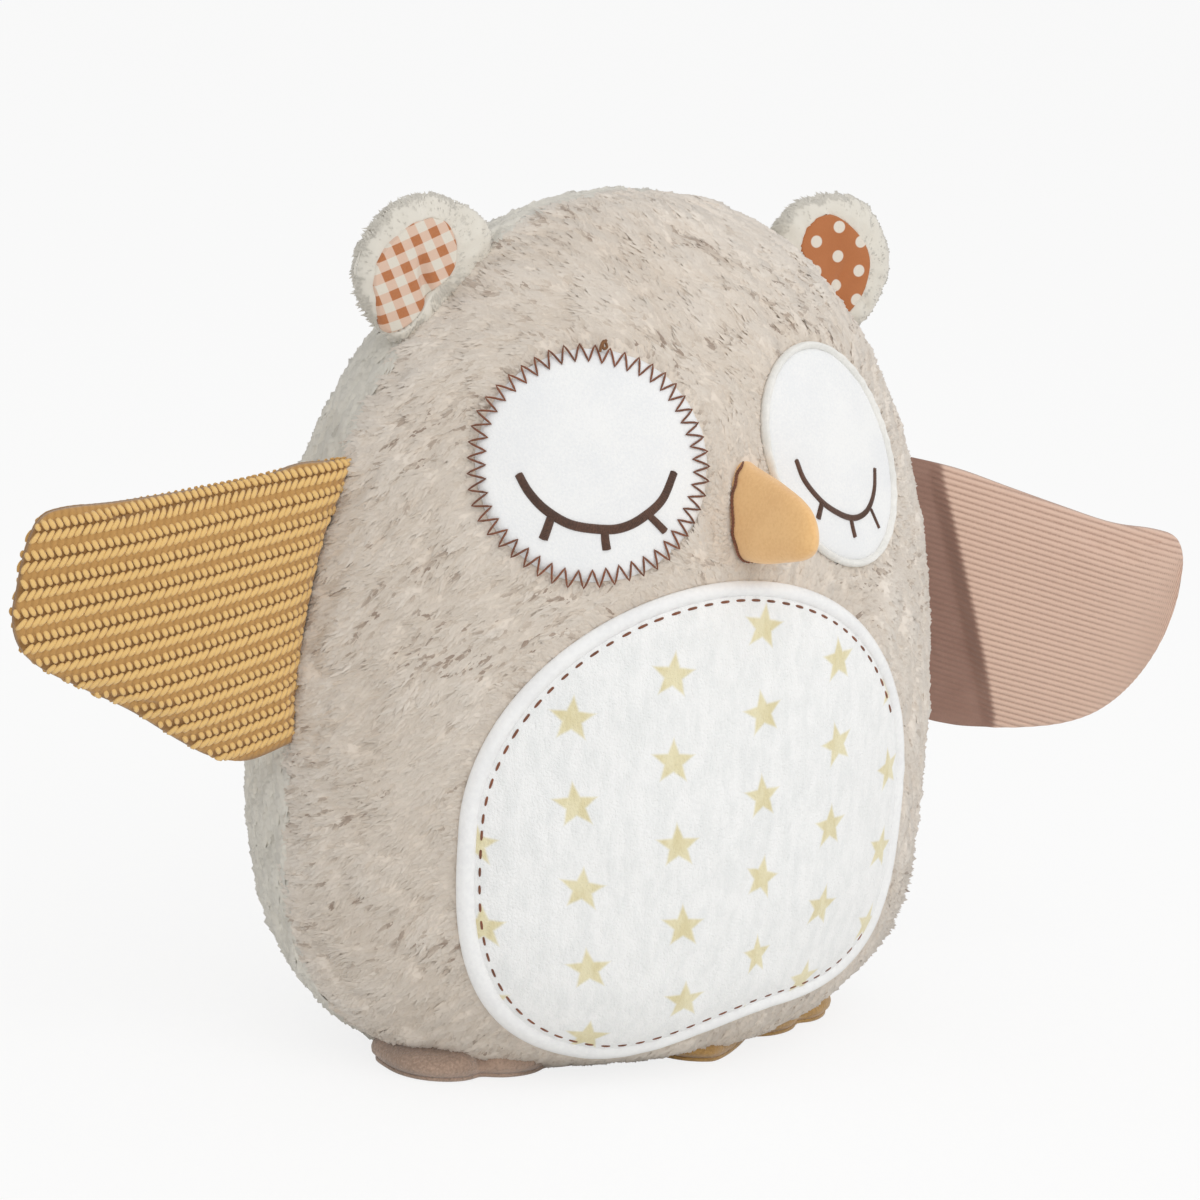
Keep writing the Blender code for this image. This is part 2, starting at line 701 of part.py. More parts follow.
def make_foot(word, finish):
    name = "foot_" + word
    place = foot_place(word)
    sole_outline = [(u * FOOT_SIZE_SHARES[0], v * FOOT_SIZE_SHARES[0]) for u, v in foot_outline(0.0)]
    sole = add_mesh(prism(sole_outline, 0.0, FOOT_SOLE, place), name + "_sole", owl, finish)
    top = add_mesh(foot_form(word, FOOT_HEIGHT, 0.0), name + "_top", owl, finish)
    cut(top, add_mesh(foot_form(word, FOOT_HEIGHT - FOOT_COVER, FOOT_COVER), name + "_space", cutters))
    inner = foot_form(word, FOOT_HEIGHT - FOOT_COVER - GAP, FOOT_COVER + GAP)
    stuffing = add_mesh(inner, name + "_stuffing", owl, "filling")
    for piece in (top, stuffing):
        cut(piece, above_sole, "INTERSECT")
    heel = place @ Vector((0.0, FOOT_HEEL_REACH, FOOT_SOLE))
    across = (place.to_3x3() @ Vector((1.0, 0.0, 0.0))).normalized()
    hinge = add_hinge(name + "_hinge", frame_from(heel, Vector((0.0, 0.0, 1.0)), across))
    for piece in (sole, top, stuffing):
        cut(piece, body_clearance)
        hang_on(piece, hinge)


make_body()
make_belly()
make_eyes()
make_beak()
make_ear("right", -1, "gingham")
make_ear("left", 1, "rust")
make_wing("right", -1, "knit")
make_wing("left", 1, "corduroy")
make_foot("right", "mauve")
make_foot("left", "mustard")
print("plush owl:", len([obj for obj in owl.objects if obj.type == "MESH"]), "pieces")
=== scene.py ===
from math import cos, hypot, pi, radians, sin

import bmesh
import bpy
import numpy as np
from mathutils import Matrix, Vector
from mathutils.bvhtree import BVHTree


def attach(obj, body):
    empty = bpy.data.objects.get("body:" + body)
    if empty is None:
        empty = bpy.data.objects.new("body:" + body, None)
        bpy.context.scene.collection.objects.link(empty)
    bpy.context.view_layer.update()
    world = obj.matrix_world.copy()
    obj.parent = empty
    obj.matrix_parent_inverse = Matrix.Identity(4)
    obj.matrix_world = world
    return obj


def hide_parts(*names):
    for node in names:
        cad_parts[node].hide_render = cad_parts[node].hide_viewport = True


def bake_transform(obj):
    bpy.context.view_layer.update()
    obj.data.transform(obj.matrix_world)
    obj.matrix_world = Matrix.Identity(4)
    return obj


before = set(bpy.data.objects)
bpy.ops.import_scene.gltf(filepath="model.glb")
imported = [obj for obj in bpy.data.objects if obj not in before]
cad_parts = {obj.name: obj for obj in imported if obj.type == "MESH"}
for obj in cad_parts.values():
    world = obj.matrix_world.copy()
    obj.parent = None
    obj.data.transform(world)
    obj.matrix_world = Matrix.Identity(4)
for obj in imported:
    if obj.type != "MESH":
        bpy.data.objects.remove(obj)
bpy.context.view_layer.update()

mm = 0.001
random = np.random.default_rng(7)


# small helpers: colours, meshes, node trees

def tint(red, green, blue):
    values = []
    for part in (red, green, blue):
        part = part / 255
        values.append(part / 12.92 if part <= 0.04045 else ((part + 0.055) / 1.055) ** 2.4)
    return (*values, 1.0)


def smoothStep(t):
    t = np.clip(t, 0.0, 1.0)
    return t * t * (3 - 2 * t)


def unit(vectors):
    return vectors / np.maximum(np.linalg.norm(vectors, axis=-1, keepdims=True), 1e-12)


def makePiece(name, points, faces, finish, body, slot, values=None, ride=True):
    mesh = bpy.data.meshes.new(name)
    mesh.from_pydata(np.asarray(points, float).reshape(-1, 3).tolist(), [], faces)
    for key, numbers in (values or {}).items():
        numbers = np.asarray(numbers, np.float32)
        kind, field = ("FLOAT_VECTOR", "vector") if numbers.ndim == 2 else ("FLOAT", "value")
        mesh.attributes.new(key, kind, "POINT").data.foreach_set(field, numbers.ravel())
    mesh.materials.append(finish)
    mesh.shade_smooth()
    piece = bpy.data.objects.new(name, mesh)
    bpy.context.scene.collection.objects.link(piece)
    if ride:
        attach(piece, body)
    return piece


def tidyMesh(piece, gap=2e-6):
    bm = bmesh.new()
    bm.from_mesh(piece.data)
    bmesh.ops.remove_doubles(bm, verts=bm.verts, dist=gap)
    bmesh.ops.dissolve_degenerate(bm, edges=bm.edges, dist=gap / 2)
    bmesh.ops.recalc_face_normals(bm, faces=bm.faces)
    bm.to_mesh(piece.data)
    bm.free()


def shellFaces(rows, columns, wrap=False):
    # two grids of points, the outside then the inside, closed along their borders
    count = rows * columns
    last = columns if wrap else columns - 1
    faces = []
    for r in range(rows - 1):
        for c in range(last):
            a, b = r * columns + c, r * columns + (c + 1) % columns
            d, e = a + columns, b + columns
            faces.append((a, b, e, d))
            faces.append((count + a, count + d, count + e, count + b))
    for c in range(last):
        a, b = c, (c + 1) % columns
        faces.append((a, count + a, count + b, b))
        a, b = (rows - 1) * columns + c, (rows - 1) * columns + (c + 1) % columns
        faces.append((a, b, count + b, count + a))
    if not wrap:
        for r in range(rows - 1):
            a, b = r * columns, (r + 1) * columns
            faces.append((a, b, count + b, count + a))
            a, b = a + columns - 1, b + columns - 1
            faces.append((a, count + a, count + b, b))
    return faces


def twoSides(outer, inner):
    # the points that shellFaces joins
    return np.concatenate([outer.reshape(-1, 3), inner.reshape(-1, 3)])


def tube(path, ups, halfWide, halfHigh, sides=8, closed=False):
    # a thread along a path; widths may change along it
    path = np.asarray(path, float)
    count = len(path)
    if closed:
        along = unit(np.roll(path, -1, 0) - np.roll(path, 1, 0))
    else:
        along = unit(np.gradient(path, axis=0))
    across = unit(np.cross(along, ups))
    lift = np.cross(across, along)
    widths = np.broadcast_to(halfWide, count)[:, None]
    heights = np.broadcast_to(halfHigh, count)[:, None]
    rings = []
    for k in range(sides):
        angle = 2 * pi * k / sides
        rings.append(path + across * widths * cos(angle) + lift * heights * sin(angle))
    points = np.stack(rings, 1).reshape(-1, 3)
    faces = []
    for r in range(count if closed else count - 1):
        n = (r + 1) % count
        for k in range(sides):
            m = (k + 1) % sides
            faces.append((r * sides + k, r * sides + m, n * sides + m, n * sides + k))
    if not closed:
        faces.append(tuple(reversed(range(sides))))
        faces.append(tuple((count - 1) * sides + k for k in range(sides)))
    return points, faces


def joinParts(parts):
    points, faces, start = [], [], 0
    for somePoints, someFaces in parts:
        points.append(np.asarray(somePoints))
        faces.extend(tuple(start + i for i in face) for face in someFaces)
        start += len(somePoints)
    return np.concatenate(points), faces


def newFinish(name, roughness=0.9, sheen=0.0, specular=0.25):
    finish = bpy.data.materials.new(name)
    finish.use_nodes = True
    shader = finish.node_tree.nodes["Principled BSDF"]
    shader.inputs["Roughness"].default_value = roughness
    shader.inputs["Specular IOR Level"].default_value = specular
    shader.inputs["Sheen Weight"].default_value = sheen
    shader.inputs["Sheen Roughness"].default_value = 0.6
    return finish, finish.node_tree, shader


def addNode(tree, kind, settings=None, result=0, **values):
    made = tree.nodes.new(kind)
    for key, value in (settings or {}).items():
        setattr(made, key, value)
    for key, value in values.items():
        socket = made.inputs[int(key[1:])] if key[1:].isdigit() else made.inputs[key.replace("_", " ")]
        if isinstance(value, bpy.types.NodeSocket):
            tree.links.new(value, socket)
        else:
            socket.default_value = value
    return made.outputs[result]


def sumOf(tree, operation, a, b=0.0, c=0.0):
    return addNode(tree, "ShaderNodeMath", {"operation": operation}, i0=a, i1=b, i2=c)


def mixOf(tree, share, a, b, mode="MIX"):
    return addNode(tree, "ShaderNodeMix", {"data_type": "RGBA", "blend_type": mode}, 2, i0=share, i6=a, i7=b)


def rangeOf(tree, value, low, high, toLow=0.0, toHigh=1.0):
    return addNode(tree, "ShaderNodeMapRange", {"interpolation_type": "SMOOTHSTEP"},
                   i0=value, i1=low, i2=high, i3=toLow, i4=toHigh)


def placeOf(tree, stretch=(1.0, 1.0, 1.0)):
    spot = addNode(tree, "ShaderNodeTexCoord", result=3)
    return addNode(tree, "ShaderNodeVectorMath", {"operation": "MULTIPLY"}, i0=spot, i1=stretch)


def valueOf(tree, name, result=2):
    return addNode(tree, "ShaderNodeAttribute", {"attribute_name": name}, result)


def printSpotOf(tree):
    # where a point lies on its printed cloth, across and up
    made = addNode(tree, "ShaderNodeSeparateXYZ", None, 0, Vector=valueOf(tree, "printSpot", 1)).node
    return made.outputs[0], made.outputs[1]


def lengthOf(tree, across, high):
    squares = [sumOf(tree, "MULTIPLY", side, side) for side in (across, high)]
    return sumOf(tree, "SQRT", sumOf(tree, "ADD", *squares))


def halfDrop(tree, column, row, pitch):
    # a half-drop repeat: how far a point is from the middle of its print, and which print it is
    whichColumn = sumOf(tree, "ROUND", column)
    drop = sumOf(tree, "MULTIPLY", sumOf(tree, "FLOORED_MODULO", whichColumn, 2.0), 0.5)
    row = sumOf(tree, "ADD", row, drop)
    whichRow = sumOf(tree, "ROUND", row)
    across = sumOf(tree, "MULTIPLY", sumOf(tree, "SUBTRACT", column, whichColumn), pitch[0])
    high = sumOf(tree, "MULTIPLY", sumOf(tree, "SUBTRACT", row, whichRow), pitch[1])
    return across, high, (whichColumn, whichRow)


def noiseOf(tree, spot, scale, detail=2.0, roughness=0.5):
    return addNode(tree, "ShaderNodeTexNoise", None, 0,
                   Vector=spot, Scale=scale, Detail=detail, Roughness=roughness)


def addBump(tree, shader, height, distance, strength=1.0):
    made = tree.nodes.new("ShaderNodeBump")
    made.inputs["Strength"].default_value = strength
    made.inputs["Distance"].default_value = distance
    tree.links.new(height, made.inputs["Height"])
    tree.links.new(made.outputs[0], shader.inputs["Normal"])


# the body's surface, the same as the solid's

bodyShape = {
    "height": 0.257, "halfWidth": 0.1094, "front": 0.0686, "back": 0.1103,
    "widestHeight": 0.090, "frontDeepest": 0.098, "backDeepest": 0.087,
    "baseDrop": 0.005, "frontBaseDrop": 0.002, "crownSetBack": 0.0035,
    "frontPower": 1.65, "frontSoft": 0.12,
    "widthPowers": (2.2, 0.465, 3.0, 0.31),
    "frontPowers": (1.8, 0.40, 2.8, 0.30),
    "backPowers": (1.6, 0.47, 2.2, 0.357),
}


def fullness(z, deepest, powers, drop="baseDrop"):
    # from 1 at the widest or deepest height down to 0 at the crown; the words name values of bodyShape
    height, deepest, powers, drop = (bodyShape[word] for word in ("height", deepest, powers, drop))
    above = np.clip((z - deepest) / (height - deepest), 0.0, 1.0)
    below = np.clip((deepest - z) / (deepest + drop), 0.0, 1.0)
    upper = (1 - above ** powers[0]) ** powers[1]
    lower = (1 - below ** powers[2]) ** powers[3]
    return np.where(z >= deepest, upper, lower)


def halfWidth(z):
    return bodyShape["halfWidth"] * fullness(z, "widestHeight", "widthPowers")


def backDepth(z):
    return bodyShape["back"] * fullness(z, "backDeepest", "backPowers")


def leanBack(z):
    return bodyShape["crownSetBack"] * np.maximum(z / bodyShape["height"], 0.0) ** 3


def frontY(x, z):
    soft = bodyShape["frontSoft"]
    power = bodyShape["frontPower"]
    across = np.minimum(np.abs(x) / np.maximum(halfWidth(z), 1e-6), 1.0)
    share = (np.hypot(across, soft) - soft) / (hypot(1.0, soft) - soft)
    depth = bodyShape["front"] * fullness(z, "frontDeepest", "frontPowers", "frontBaseDrop")
    return leanBack(z) - depth * np.maximum(1 - share ** power, 0.0) ** (1 / power)


def bodyPoint(z, angle):
    wide, deep = halfWidth(z), backDepth(z)
    power = bodyShape["frontPower"]
    behind = np.sin(angle) >= 0
    frontX = wide * np.sign(np.cos(angle)) * np.abs(np.cos(angle)) ** (2 / power)
    x = np.where(behind, wide * np.cos(angle), frontX)
    y = np.where(behind, leanBack(z) + deep * np.sin(angle), frontY(frontX, z))
    return np.stack(np.broadcast_arrays(x, y, z), -1)


def frontNormal(x, z):
    step = 0.5 * mm
    dx = (frontY(x + step, z) - frontY(x - step, z)) / (2 * step)
    dz = (frontY(x, z + step) - frontY(x, z - step)) / (2 * step)
    return unit(np.stack(np.broadcast_arrays(dx, -1.0, dz), -1))


def onFront(x, z, lift):
    # a point that stands a little off the front
    x, z = np.asarray(x, float), np.asarray(z, float)
    normal = frontNormal(x, z)
    return np.stack([x, frontY(x, z), z], -1) + normal * np.asarray(lift)[..., None]


def gridNormals(grid, wrap):
    if wrap:
        across = np.roll(grid, -1, 1) - np.roll(grid, 1, 1)
    else:
        across = np.gradient(grid, axis=1)
    along = np.gradient(grid, axis=0)
    return unit(np.cross(across, along))


print("owl: finishes")

# fur: locks of pile, each a bent pointed lock with its own shade

fur = {
    "frontLocks": 88000, "backLocks": 60000,
    "length": 5.0 * mm, "lengthSpread": 1.1 * mm, "width": 1.3 * mm, "lift": 0.75 * mm, "tipShare": 0.30,
    "root": 0.6 * mm, "backLift": 1.0 * mm,
    "wave": 0.95 * mm, "waveScale": 95.0, "ripple": 0.55 * mm, "rippleScale": 270.0, "tuft": 2.4 * mm,
    "lean": 1.3, "softness": 0.62, "turn": 0.20,
    "streakScale": 600.0, "frontStreaks": 0.80, "backStreaks": 0.30,
}

# the way the pile lies on the front: places across and up in millimetres, and which way the tips point
napPlaces = [
    (-85, 150, -130), (-85, 180, -135), (-98, 130, -115), (-85, 115, -122), (-96, 95, -143), (-100, 78, -146),
    (-85, 80, -132), (-100, 55, -130), (-85, 60, -108), (-80, 35, -105), (-85, 197, -136), (-75, 213, -150),
    (-55, 238, 170), (-38, 243, 146), (-17, 244, 146), (6, 240, 151), (36, 230, 152), (-13, 224, 128),
    (5, 215, 136), (-1, 196, 101), (-6, 172, 95), (-14, 158, 160), (-43, 144, -169), (-64, 143, -141),
    (20, 160, 40), (67, 153, -23), (62, 113, -46), (85, 60, -60), (90, 110, -40), (70, 200, 20),
    (40, 20, -80), (0, 8, -90),
]


def furFinish(name, *colours):
    # colours from the deepest pile, where it is painted in shade, to the lightest, and then the tips
    deep, middle, light, tipLight = (tint(*colour) for colour in colours)
    finish, tree, shader = newFinish(name, 0.95, 0.25, 0.1)
    shade = valueOf(tree, "lockShade")
    reach = valueOf(tree, "lockReach")
    ramp = tree.nodes.new("ShaderNodeValToRGB")
    ramp.color_ramp.elements[0].color = deep
    ramp.color_ramp.elements[0].position = 0.0
    ramp.color_ramp.elements[1].color = light
    ramp.color_ramp.elements[1].position = 1.0
    ramp.color_ramp.elements.new(0.45).color = middle
    tree.links.new(shade, ramp.inputs[0])
    # painted shade and light: each lock is drawn darker at its root and lighter at its tip
    paintedRootShade = rangeOf(tree, reach, 0.0, 0.5, 0.30, 0.0)
    dark = mixOf(tree, paintedRootShade, ramp.outputs[0], deep)
    tips = rangeOf(tree, reach, 0.6, 1.0, 0.0, 0.30)
    colour = mixOf(tree, tips, dark, tipLight)
    tree.links.new(colour, shader.inputs["Base Color"])
    return finish


def clothFinish(name, colour, second, scale, bump, roughness=0.9, sheen=0.3):
    # a soft cloth with a fine uneven pile, in two near colours
    finish, tree, shader = newFinish(name, roughness, sheen, 0.2)
    spot = placeOf(tree)
    broad = noiseOf(tree, spot, 60.0, 3.0)
    fine = noiseOf(tree, spot, scale, 2.0, 0.6)
    share = sumOf(tree, "MULTIPLY_ADD", broad, 0.5, sumOf(tree, "MULTIPLY", fine, 0.5))
    mixed = mixOf(tree, rangeOf(tree, share, 0.35, 0.65), tint(*colour), tint(*second))
    tree.links.new(mixed, shader.inputs["Base Color"])
    addBump(tree, shader, fine, bump)
    return finish


# each fur's first colour is reached where its pile is painted in shade: in hollows, streaks and at the roots
furTaupe = furFinish("taupe fur", (170, 151, 136), (222, 209, 194), (239, 230, 219), (244, 238, 229))
furGrey = furFinish("light grey fur", (180, 173, 160), (222, 217, 205), (237, 233, 223), (243, 241, 233))
furEar = furFinish("pale ear fur", (184, 177, 164), (216, 210, 198), (228, 223, 212), (234, 230, 221))
feltWhite = clothFinish("white felt", (244, 244, 243), (236, 237, 238), 1400.0, 0.12 * mm, 0.95, 0.15)
threadBrown = clothFinish("brown thread", (104, 66, 48), (140, 84, 58), 1500.0, 0.1 * mm, 0.6, 0.2)
threadDark = clothFinish("dark brown thread", (72, 52, 42), (98, 68, 54), 1500.0, 0.1 * mm, 0.55, 0.2)
threadGold = clothFinish("golden thread", (150, 104, 58), (120, 80, 48), 1500.0, 0.1 * mm, 0.6, 0.2)
satinWhite = clothFinish("white satin", (246, 246, 245), (238, 238, 238), 700.0, 0.05 * mm, 0.42, 0.1)
satinPearl = clothFinish("pearl satin", (240, 238, 233), (228, 227, 222), 700.0, 0.05 * mm, 0.35, 0.15)
suedeTan = clothFinish("tan suede", (241, 195, 134), (232, 183, 122), 1100.0, 0.10 * mm, 0.95, 0.35)
velourMauve = clothFinish("mauve velour", (192, 164, 145), (152, 128, 111), 1300.0, 0.45 * mm, 0.95, 0.5)
velourTan = clothFinish("mustard velour", (206, 166, 104), (176, 136, 78), 1300.0, 0.45 * mm, 0.95, 0.5)
baseCloth = clothFinish("base cloth", (204, 200, 190), (190, 186, 176), 900.0, 0.3 * mm)


def starFinish():
    # five-pointed stars in a half-drop repeat on white short pile
    size = {"column": 29.0, "row": 24.8, "tip": 6.6, "notch": 2.9, "soft": 2.4, "turn": 0.5}
    finish, tree, shader = newFinish("star minky", 0.95, 0.3, 0.2)
    spotX, spotZ = printSpotOf(tree)
    column = sumOf(tree, "DIVIDE", spotX, size["column"])
    row = sumOf(tree, "DIVIDE", spotZ, size["row"])
    across, high, which = halfDrop(tree, column, row, (size["column"], size["row"]))
    # each star is turned a little its own way
    cell = addNode(tree, "ShaderNodeCombineXYZ", None, 0, i0=which[0], i1=which[1])
    lot = addNode(tree, "ShaderNodeTexWhiteNoise", {"noise_dimensions": "2D"}, 0, Vector=cell)
    turn = sumOf(tree, "MULTIPLY", sumOf(tree, "SUBTRACT", lot, 0.5), size["turn"])
    angle = sumOf(tree, "ADD", sumOf(tree, "ARCTAN2", across, high), turn)
    reach = lengthOf(tree, across, high)
    # folded on its points, the star's edge is one straight line
    point = 2 * pi / 5
    around = sumOf(tree, "FLOORED_MODULO", sumOf(tree, "ADD", angle, point / 2), point)
    fold = sumOf(tree, "ABSOLUTE", sumOf(tree, "SUBTRACT", around, point / 2))
    notchSide = size["notch"] * sin(point / 2)
    notchDrop = size["tip"] - size["notch"] * cos(point / 2)
    edge = sumOf(tree, "ADD",
                 sumOf(tree, "MULTIPLY", sumOf(tree, "COSINE", fold), notchSide),
                 sumOf(tree, "MULTIPLY", sumOf(tree, "SINE", fold), notchDrop))
    outside = sumOf(tree, "SUBTRACT", sumOf(tree, "MULTIPLY", reach, edge), notchSide * size["tip"])
    star = rangeOf(tree, outside, -size["soft"], size["soft"], 1.0, 0.0)
    fine = noiseOf(tree, placeOf(tree), 1500.0, 2.0, 0.6)
    crushed = noiseOf(tree, placeOf(tree, (1.0, 1.0, 0.35)), 260.0, 3.0, 0.65)
    shade = rangeOf(tree, crushed, 0.35, 0.7)
    white = mixOf(tree, shade, tint(248, 248, 247), tint(239, 240, 239))
    yellow = mixOf(tree, shade, tint(236, 227, 190), tint(224, 212, 168))
    tree.links.new(mixOf(tree, star, white, yellow), shader.inputs["Base Color"])
    addBump(tree, shader, sumOf(tree, "ADD", fine, sumOf(tree, "MULTIPLY", crushed, 1.6)), 0.4 * mm)
    return finish


def cottonFinish(name):
    # woven cotton, still without its print
    finish, tree, shader = newFinish(name, 0.85, 0.1, 0.25)
    weave = noiseOf(tree, placeOf(tree, (1.0, 0.3, 1.0)), 1600.0, 2.0, 0.6)
    addBump(tree, shader, weave, 0.12 * mm)
    return finish, tree, shader, weave


def ginghamFinish():
    # white, pale pink-beige and rust checks, from two crossed sets of stripes
    finish, tree, shader, weave = cottonFinish("gingham cotton")
    stripes = []
    for spot in printSpotOf(tree):
        wave = sumOf(tree, "FLOORED_MODULO", spot, 1.0)
        off = sumOf(tree, "ABSOLUTE", sumOf(tree, "SUBTRACT", wave, 0.5))
        stripes.append(rangeOf(tree, off, 0.235, 0.265, 1.0, 0.0))
    both = sumOf(tree, "MULTIPLY", *stripes)
    either = sumOf(tree, "MAXIMUM", *stripes)
    colour = mixOf(tree, either, tint(222, 216, 203), tint(219, 188, 167))
    colour = mixOf(tree, both, colour, tint(180, 109, 60))
    colour = mixOf(tree, sumOf(tree, "MULTIPLY", weave, 0.14), colour, tint(228, 204, 186))
    tree.links.new(colour, shader.inputs["Base Color"])
    return finish


def dotFinish():
    # white dots in a half-drop repeat on rust cotton
    size = {"column": 7.4, "row": 8.9, "inner": 1.65, "outer": 2.0}
    finish, tree, shader, _ = cottonFinish("dotted cotton")
    across, high, _ = halfDrop(tree, *printSpotOf(tree), (size["column"], size["row"]))
    dot = rangeOf(tree, lengthOf(tree, across, high), size["inner"], size["outer"], 1.0, 0.0)
    broad = noiseOf(tree, placeOf(tree), 120.0, 2.0)
    ground = mixOf(tree, broad, tint(172, 104, 60), tint(192, 124, 80))
    tree.links.new(mixOf(tree, dot, ground, tint(226, 217, 204)), shader.inputs["Base Color"])
    return finish


def yarnFinish(name, *colours):
    # twisted yarn; lockReach runs from a stitch's edge to its crown, and the yarn is painted darker towards
    # its edges and in its grooves, as shade
    light, dark, fuzz = (tint(*colour) for colour in colours)
    finish, tree, shader = newFinish(name, 0.9, 0.3, 0.2)
    spot = placeOf(tree)
    fibre = noiseOf(tree, spot, 1800.0, 3.0, 0.6)
    broad = noiseOf(tree, spot, 90.0, 2.0)
    crown = valueOf(tree, "lockReach")
    shade = sumOf(tree, "ADD", sumOf(tree, "MULTIPLY", crown, 0.75), sumOf(tree, "MULTIPLY", fibre, 0.35))
    colour = mixOf(tree, rangeOf(tree, shade, 0.15, 0.85), dark, light)
    colour = mixOf(tree, sumOf(tree, "MULTIPLY", broad, 0.25), colour, fuzz)
    tree.links.new(colour, shader.inputs["Base Color"])
    addBump(tree, shader, fibre, 0.15 * mm)
    return finish


yarnMustard = yarnFinish("mustard yarn", (236, 196, 126), (184, 136, 72), (222, 179, 108))
# the knit's ground is a darker copy of the yarn, painted as the shade between the stitches
yarnShadedGround = yarnFinish("mustard knit ground", (192, 146, 84), (138, 98, 50), (176, 132, 74))
cordMauve = yarnFinish("mauve needlecord", (222, 190, 170), (140, 106, 92), (208, 174, 158))
starMinky = starFinish()
ginghamCotton = ginghamFinish()
dottedCotton = dotFinish()


def setBakeMap(piece):
    # the fur's own map: shade one way, root to tip the other
    mesh = piece.data
    layer = mesh.uv_layers.new(name="OFBake")
    index = np.empty(len(mesh.loops), np.int32)
    mesh.loops.foreach_get("vertex_index", index)
    pair = []
    for key in ("lockShade", "lockReach"):
        values = np.empty(len(mesh.vertices), np.float32)
        mesh.attributes[key].data.foreach_get("value", values)
        pair.append(values[index])
    layer.data.foreach_set("uv", np.stack(pair, 1).ravel())


def growFur(name, roots, normals, naps, shading, length, width, lift, shade, finish, body, slot,
            ride=True, floor=None, tipShare=fur["tipShare"]):
    # each lock: its root, three corners where it is widest, and its tip
    count = len(roots)
    side = unit(np.cross(naps, normals))
    length, width, lift = (np.broadcast_to(value, count)[:, None] for value in (length, width, lift))
    half = width / 2
    base = roots - normals * fur["root"]
    bend = roots + naps * length * 0.40 + normals * (lift - fur["lift"]) * 0.6
    crest = bend + normals * (half * 0.75 + lift * 0.4)
    tip = roots + naps * length + normals * lift * tipShare
    corners = np.stack([base, bend + side * half, bend - side * half, crest, tip], 1)
    if floor is not None:
        corners[..., 2] = np.maximum(corners[..., 2], floor[:, None])
    pattern = np.array([(0, 2, 1), (0, 1, 3), (0, 3, 2), (1, 2, 4), (3, 1, 4), (2, 3, 4)])
    faces = (5 * np.arange(count)[:, None, None] + pattern).reshape(-1, 3).tolist()
    shade = np.clip(np.broadcast_to(shade, count), 0.03, 0.97)
    shade = np.stack([shade, shade - 0.02, shade + 0.02, shade, shade], 1).ravel()
    reach = np.tile([0.02, 0.40, 0.40, 0.45, 0.98], count)
    values = {"lockShade": shade, "lockReach": reach}
    piece = makePiece(name, corners, faces, finish, body, slot, values, ride)
    setBakeMap(piece)
    # pile catches the light as a soft surface, so each lock leans on the shading of its cloth
    own = 1 - fur["softness"]
    leans = [shading, unit(shading + side * own), unit(shading - side * own), unit(shading + normals * own),
             shading]
    leans = np.stack(leans, 1)[:, pattern]
    trios = corners[:, pattern]
    facing = unit(np.cross(trios[:, :, 1] - trios[:, :, 0], trios[:, :, 2] - trios[:, :, 0]))[:, :, None]
    # but no corner turns far from its own face
    leans = unit(leans + facing * np.maximum(0.4 - np.sum(leans * facing, -1, keepdims=True), 0.0))
    piece.data.normals_split_custom_set(leans.reshape(-1, 3).tolist())
    return piece


def wander(points, scale, seed, waves=30):
    # smooth noise about zero, from crossed waves of like length
    source = np.random.default_rng(100 + int(seed))
    ways = unit(source.normal(size=(waves, 3)))
    ways = ways * (2 * pi * scale * source.uniform(0.35, 0.95, waves))[:, None]
    starts = source.uniform(0.0, 2 * pi, waves)
    total = np.zeros(len(points))
    for way, start in zip(ways, starts):
        total += np.cos(points @ way + start)
    return np.clip(total * 0.078, -1.0, 1.0)


def wanderAlong(points, naps, scale, seed, reach):
    # the same noise drawn out along the pile
    steps = (-1.0, -0.5, 0.0, 0.5, 1.0)
    return sum(wander(points + naps * reach * step, scale, seed) for step in steps) * 0.36


# the belly patch's outline

belly = {
    "middleX": -2.5 * mm, "halfWidth": 74.9 * mm, "middleZ": 0.323 * bodyShape["height"], "rise": 71.5 * mm,
    "rightDrop": 75.0 * mm, "leftDrop": 61.0 * mm, "topPower": 2.0, "rightPower": 2.8, "leftPower": 4.5,
    "blend": 60.0 * mm, "edging": 4.0 * mm, "lift": 2.3 * mm, "edgingLift": 2.9 * mm, "points": 260,
}


def bellySides(across, upper):
    # the outline's squareness and its drop, from the owl's right to its left
    share = smoothStep(across / belly["blend"] + 0.5)
    power = belly["rightPower"] + (belly["leftPower"] - belly["rightPower"]) * share
    drop = belly["rightDrop"] + (belly["leftDrop"] - belly["rightDrop"]) * share
    return np.where(upper, belly["topPower"], power), drop


def bellyOutline(inset, count=belly["points"]):
    angle = 2 * pi * np.arange(count) / count
    # even steps along the outline's corners
    angle = angle - 0.12 * np.sin(4 * angle)
    across = (belly["halfWidth"] - inset) * np.cos(angle)
    upper = np.sin(angle) >= 0
    power, drop = bellySides(across, upper)
    reach = np.where(upper, belly["rise"] - inset, inset - drop)
    tall = (1.0 - np.abs(np.cos(angle)) ** power) ** (1.0 / power)
    return np.stack([belly["middleX"] + across, belly["middleZ"] + reach * tall], 1)


def insideBelly(x, z, inset):
    across = np.clip(np.abs(x - belly["middleX"]) / (belly["halfWidth"] - inset), 0.0, 1.0)
    upper = z >= belly["middleZ"]
    power, drop = bellySides(x - belly["middleX"], upper)
    reach = np.where(upper, belly["rise"] - inset, drop - inset)
    tall = np.abs(z - belly["middleZ"]) / reach
    return across ** power + tall ** power < 1.0


# eyes: where the discs sit

eyes = {
    "x": 42.7 * mm, "z": 0.7276 * bodyShape["height"], "rightRadius": 33.0 * mm,
    # the left disc is a little oval and stands askew
    "leftMiddle": (-3.4 * mm, 0.2 * mm), "leftHalves": (28.6 * mm, 34.5 * mm), "leftTilt": 27.0,
}

